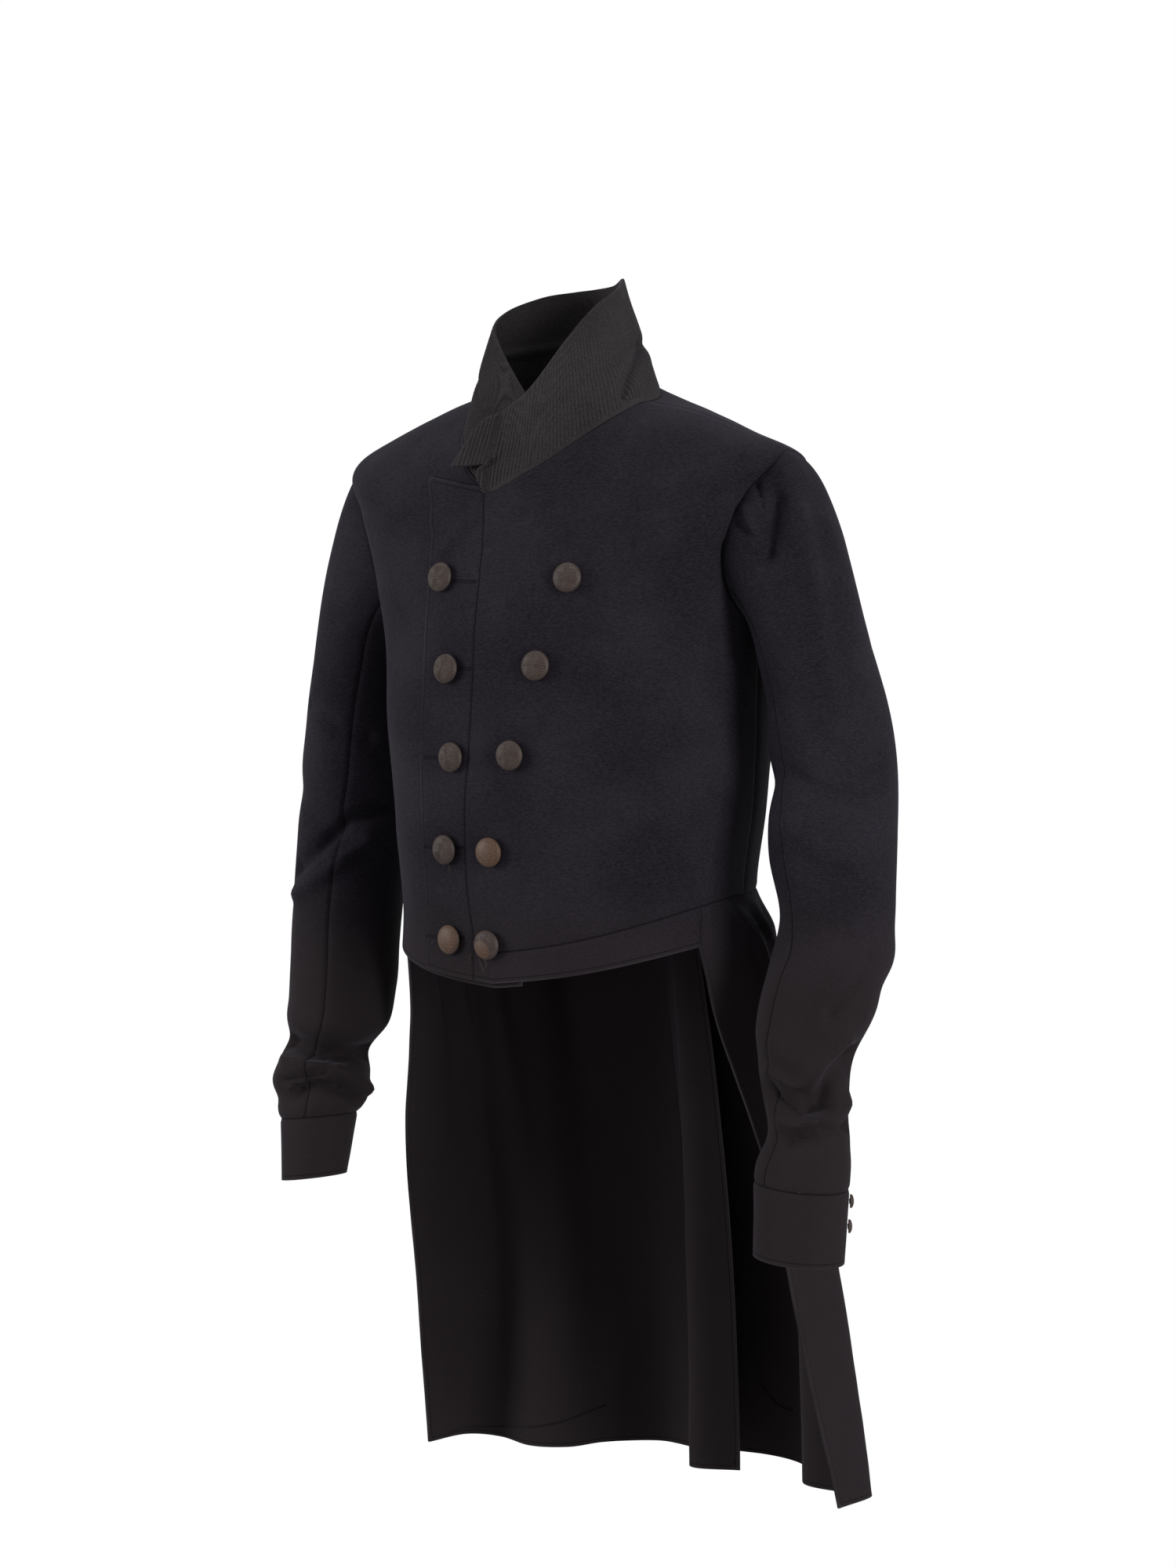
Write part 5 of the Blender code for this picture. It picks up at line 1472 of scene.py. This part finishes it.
def new_material(surface):
    """Cloth-like material with a plain surface, its node tree, its shader and its own coordinates."""
    material = bpy.data.materials.new(surface.name)
    material.use_nodes = True
    tree = material.node_tree
    shader = tree.nodes["Principled BSDF"]
    shader.inputs["Roughness"].default_value = surface.roughness
    shader.inputs["Specular IOR Level"].default_value = surface.specular
    shader.inputs["Sheen Weight"].default_value = surface.sheen
    shader.inputs["Sheen Roughness"].default_value = SHEEN_ROUGHNESS
    shader.inputs["Sheen Tint"].default_value = (*surface.tint, 1)
    return material, tree, shader, add_node(tree, "ShaderNodeTexCoord").outputs["Object"]


def add_bump(tree, shader, relief, height):
    """Fine relief on a material."""
    inputs = {"Strength": relief.strength, "Distance": relief.distance, "Height": height}
    bump = add_node(tree, "ShaderNodeBump", inputs)
    tree.links.new(bump.outputs[0], shader.inputs["Normal"])


def noise_of(tree, coordinates, kind):
    """Noise stretched by its own scale along each axis."""
    mapping = add_node(tree, "ShaderNodeMapping", {"Vector": coordinates, "Scale": kind.scale})
    inputs = {"Vector": mapping.outputs[0], "Scale": 1.0, "Detail": kind.detail}
    return add_node(tree, "ShaderNodeTexNoise", inputs).outputs["Fac"]


def attribute(tree, name):
    """Output of a number that the mesh carries at each point."""
    return add_node(tree, "ShaderNodeAttribute", attribute_name=name).outputs["Fac"]


def lint_specks(tree, coordinates):
    """1 on rare small specks of lint, and 0 elsewhere."""
    cells = add_node(tree, "ShaderNodeTexVoronoi", {"Vector": coordinates, "Scale": LINT_SCALE})
    draw = add_node(tree, "ShaderNodeSeparateColor", {"Color": cells.outputs["Color"]}).outputs[0]
    chosen = maths(tree, "GREATER_THAN", draw, LINT_RARITY)
    spot = ranged(tree, cells.outputs["Distance"], *LINT_REACH, LINT_STRENGTH, 0.0)
    return maths(tree, "MULTIPLY", chosen, spot)


def pressed_line(tree, edge):
    """1 along the line where the turned edge is pressed flat, and 0 elsewhere; the line is sunk in the relief
    and darkened with painted shade.
    """
    off_line = maths(tree, "ABSOLUTE", maths(tree, "SUBTRACT", edge, PRESS_LINE))
    return ranged(tree, off_line, 0.0, PRESS_WIDTH, 1.0, 0.0)


def cloth_colour(tree, coordinates, look, grain, patches):
    """Colour of the cloth itself, browner below the waist."""
    fine = ranged(tree, grain, *GRAIN_SPREAD, 0.0, FINE_SHARE)
    slow = ranged(tree, patches, *PATCH_SPREAD, 0.0, SLOW_SHARE)
    colour = mixed(tree, maths(tree, "ADD", fine, slow), look.dark, look.light)
    height = add_node(tree, "ShaderNodeSeparateXYZ", {"Vector": coordinates}).outputs["Z"]
    return mixed(tree, ranged(tree, height, *BROWN_HEIGHTS, 0.0, look.browned), colour, BROWNED)


def cloth_material(look):
    """Napped wool: weave, slow change of tone, painted shade along the seams, on the pressed line and in the
    rib grooves, turned edges lighter with wear and a painted highlight, and specks of lint.
    """
    material, tree, shader, coordinates = new_material(look.surface)
    weave = noise_of(tree, coordinates, WEAVE)
    nap = noise_of(tree, coordinates, NAP)
    patches = noise_of(tree, coordinates, PATCHES)
    weave, nap = maths(tree, "MULTIPLY", weave, WEAVE_SHARE), maths(tree, "MULTIPLY", nap, NAP_SHARE)
    grain = maths(tree, "ADD", weave, nap)
    colour = cloth_colour(tree, coordinates, look, grain, patches)
    edge = attribute(tree, "edge")
    press = pressed_line(tree, edge)
    # Turned edges lighter: partly wear, partly a painted highlight
    worn = ranged(tree, edge, 0.0, WEAR_AND_HIGHLIGHT_REACH, WEAR_AND_HIGHLIGHT_STRENGTH, 0.0)
    worn = maths(tree, "MULTIPLY", worn, ranged(tree, patches, *PATCH_SPREAD, WEAR_AND_HIGHLIGHT_LEAST, 1.0))
    colour = mixed(tree, worn, colour, look.worn)
    # Painted shade along the seams
    seam = ranged(tree, attribute(tree, "sewn"), *SEAM_SHADE_REACH, SEAM_SHADE_STRENGTH, 0.0)
    # Painted shade in the rib grooves of the collar
    groove_shade = ranged(tree, attribute(tree, "rib"), 0.0, GROOVE_WIDTH, look.grooved, 0.0)
    # Painted shade on the pressed line, mixed in with the painted shade of the seams and rib grooves
    for share in (maths(tree, "MULTIPLY", press, PRESS_SHADE_STRENGTH), seam, groove_shade):
        colour = mixed(tree, share, colour, SHADED)
    colour = mixed(tree, lint_specks(tree, coordinates), colour, LINT)
    tree.links.new(colour, shader.inputs["Base Color"])
    height = maths(tree, "SUBTRACT", grain, maths(tree, "MULTIPLY", press, PRESS_RELIEF))
    add_bump(tree, shader, CLOTH_RELIEF, height)
    return material


def wrapped_material():
    """Brown-black button thread with a painted highlight on its ridges and painted shade between them, and
    the bare mould where it is worn through.
    """
    material, tree, shader, coordinates = new_material(WRAPPED)
    fibre = noise_of(tree, coordinates, FIBRE)
    patches = noise_of(tree, coordinates, THREAD_PATCHES)
    # Painted highlight on the thread ridges, painted shade between them
    lit_ridge_colour = mixed(tree, ranged(tree, patches, *PATCH_SPREAD), THREAD_LIT_RIDGE, THREAD_TAN)
    thread = mixed(tree, attribute(tree, "ridge"), THREAD_SHADED_GROOVE, lit_ridge_colour)
    tan = mixed(tree, ranged(tree, fibre, *FIBRE_SPREAD), BARE_DARK, BARE_LIGHT)
    tree.links.new(mixed(tree, attribute(tree, "bare"), thread, tan), shader.inputs["Base Color"])
    add_bump(tree, shader, THREAD_RELIEF, fibre)
    return material


def thread_material(surface, colour):
    """Plain sewing thread with a little twist in its tone."""
    material, tree, shader, coordinates = new_material(surface)
    twist = noise_of(tree, coordinates, TWIST)
    dark = tuple(TWIST_DARKNESS * part for part in colour)
    tree.links.new(mixed(tree, ranged(tree, twist, *FIBRE_SPREAD), dark, colour), shader.inputs["Base Color"])
    return material


def front_buttons(material):
    """Two rows of five on the left front and its strip."""
    rows = {
        "edge": zip(EDGE_BUTTONS, EDGE_TURNS, EDGE_WORN),
        "breast": zip(BREAST_BUTTONS, BREAST_TURNS, BREAST_WORN),
    }
    for word, row in rows.items():
        for number, (place, turn, worn) in enumerate(row, 1):
            angle, height = surface_place(place.x, place.z)
            outward = bodice_normal(angle, height)
            point = bodice(angle, height) + outward * overlap_lift(np.array(angle), 1)
            name = "%s_button_%d" % (word, number)
            add_button(name, 1.0, point, outward, math.radians(turn), worn, BUTTON_LEAN, material)


def cuff_buttons(material):
    """Two small buttons on each cuff, at the hind seam."""
    turn = np.array(CUFF_BUTTON_ANGLE)
    sine, cosine = np.sin(np.radians(turn)), np.cos(np.radians(turn))
    for word, side in SIDES:
        arm, lower, slant = cuff_size(side)
        top, end = (ring_points(ring, turn, slant) for ring in (arm, lower))
        for number, share in enumerate(CUFF_BUTTON_SHARES, 1):
            point = (top + (end - top) * share) * (side, 1, 1)
            outward = np.array([sine * side, -cosine, 0])
            name = "%s_cuff_button_%d" % (word, number)
            add_button(name, CUFF_BUTTON_SCALE, point, outward, 0.0, UNWORN, 0.0, material)


def bodice_panels(material):
    """Fronts, strip, side bodies and backs."""
    for word, side in SIDES:
        edge = ["left"] if side > 0 else []
        bodice_panel(word + "_front", front_cut(side), side, ["right", "top", "bottom"] + edge, material)
        bodice_panel(word + "_side_body", side_cut(), side, ALL_SIDES, material)
        bodice_panel(word + "_back", back_cut(), side, ALL_SIDES, material)
    bodice_panel("lapel_strip", strip_cut(), 1, ["right"], material)


def add_camera():
    """Camera of the photograph."""
    data = bpy.data.cameras.new("camera")
    data.sensor_fit = "VERTICAL"
    data.sensor_height = SENSOR
    data.lens = SENSOR * FOCAL_PIXELS / FRAME_SIZE[1]
    camera = bpy.data.objects.new("camera", data)
    camera.location = Vector(view_point())
    camera.rotation_euler = (math.pi / 2, 0, AZIMUTH)
    bpy.context.scene.collection.objects.link(camera)
    bpy.context.scene.camera = camera


def add_stage():
    """Soft lights and a white surround."""
    for light in LIGHTS:
        data = bpy.data.lights.new(light.name, "AREA")
        data.shape = "RECTANGLE"
        data.size, data.size_y = light.wide, light.high
        data.energy = light.power
        lamp = bpy.data.objects.new(light.name, data)
        lamp.location = (light.x, light.y, light.z)
        aim = Vector((0, 0, light.aim_z)) - lamp.location
        lamp.rotation_euler = aim.to_track_quat("-Z", "Y").to_euler()
        bpy.context.scene.collection.objects.link(lamp)
    world = bpy.data.worlds.new("surround")
    world.use_nodes = True
    tree = world.node_tree
    seen = add_node(tree, "ShaderNodeLightPath").outputs["Is Camera Ray"]
    strength = ranged(tree, seen, 0.0, 1.0, WORLD_LIGHT, WORLD_SEEN)
    tree.links.new(strength, tree.nodes["Background"].inputs["Strength"])
    tree.nodes["Background"].inputs["Color"].default_value = (1, 1, 1, 1)
    bpy.context.scene.world = world
    bpy.context.scene.view_settings.view_transform = "Standard"


def main():
    """Builds the dressed coat with its camera and lights."""
    add_camera()
    add_stage()
    wool = cloth_material(WOOL)
    collar_wool = cloth_material(COLLAR_WOOL)
    wrapped = wrapped_material()
    bodice_panels(wool)
    for word, side in SIDES:
        skirt(word + "_skirt", side, wool)
        cuff(word, side, sleeve(word, side, wool), wool)
    outer, inner, ribs = collar_grids()
    wall("collar", [(outer, inner)], collar_wool, ribs=ribs)
    tree = cloth_tree([obj for obj in bpy.data.objects if obj.name.endswith("_cloth")])
    front_buttons(wrapped)
    cuff_buttons(wrapped)
    buttonholes(tree, thread_material(BUTTONHOLE_THREAD, BLACK_THREAD))
    picture_threads(tree, thread_material(LOOSE_THREAD, THREAD_TAN), wool)


main()
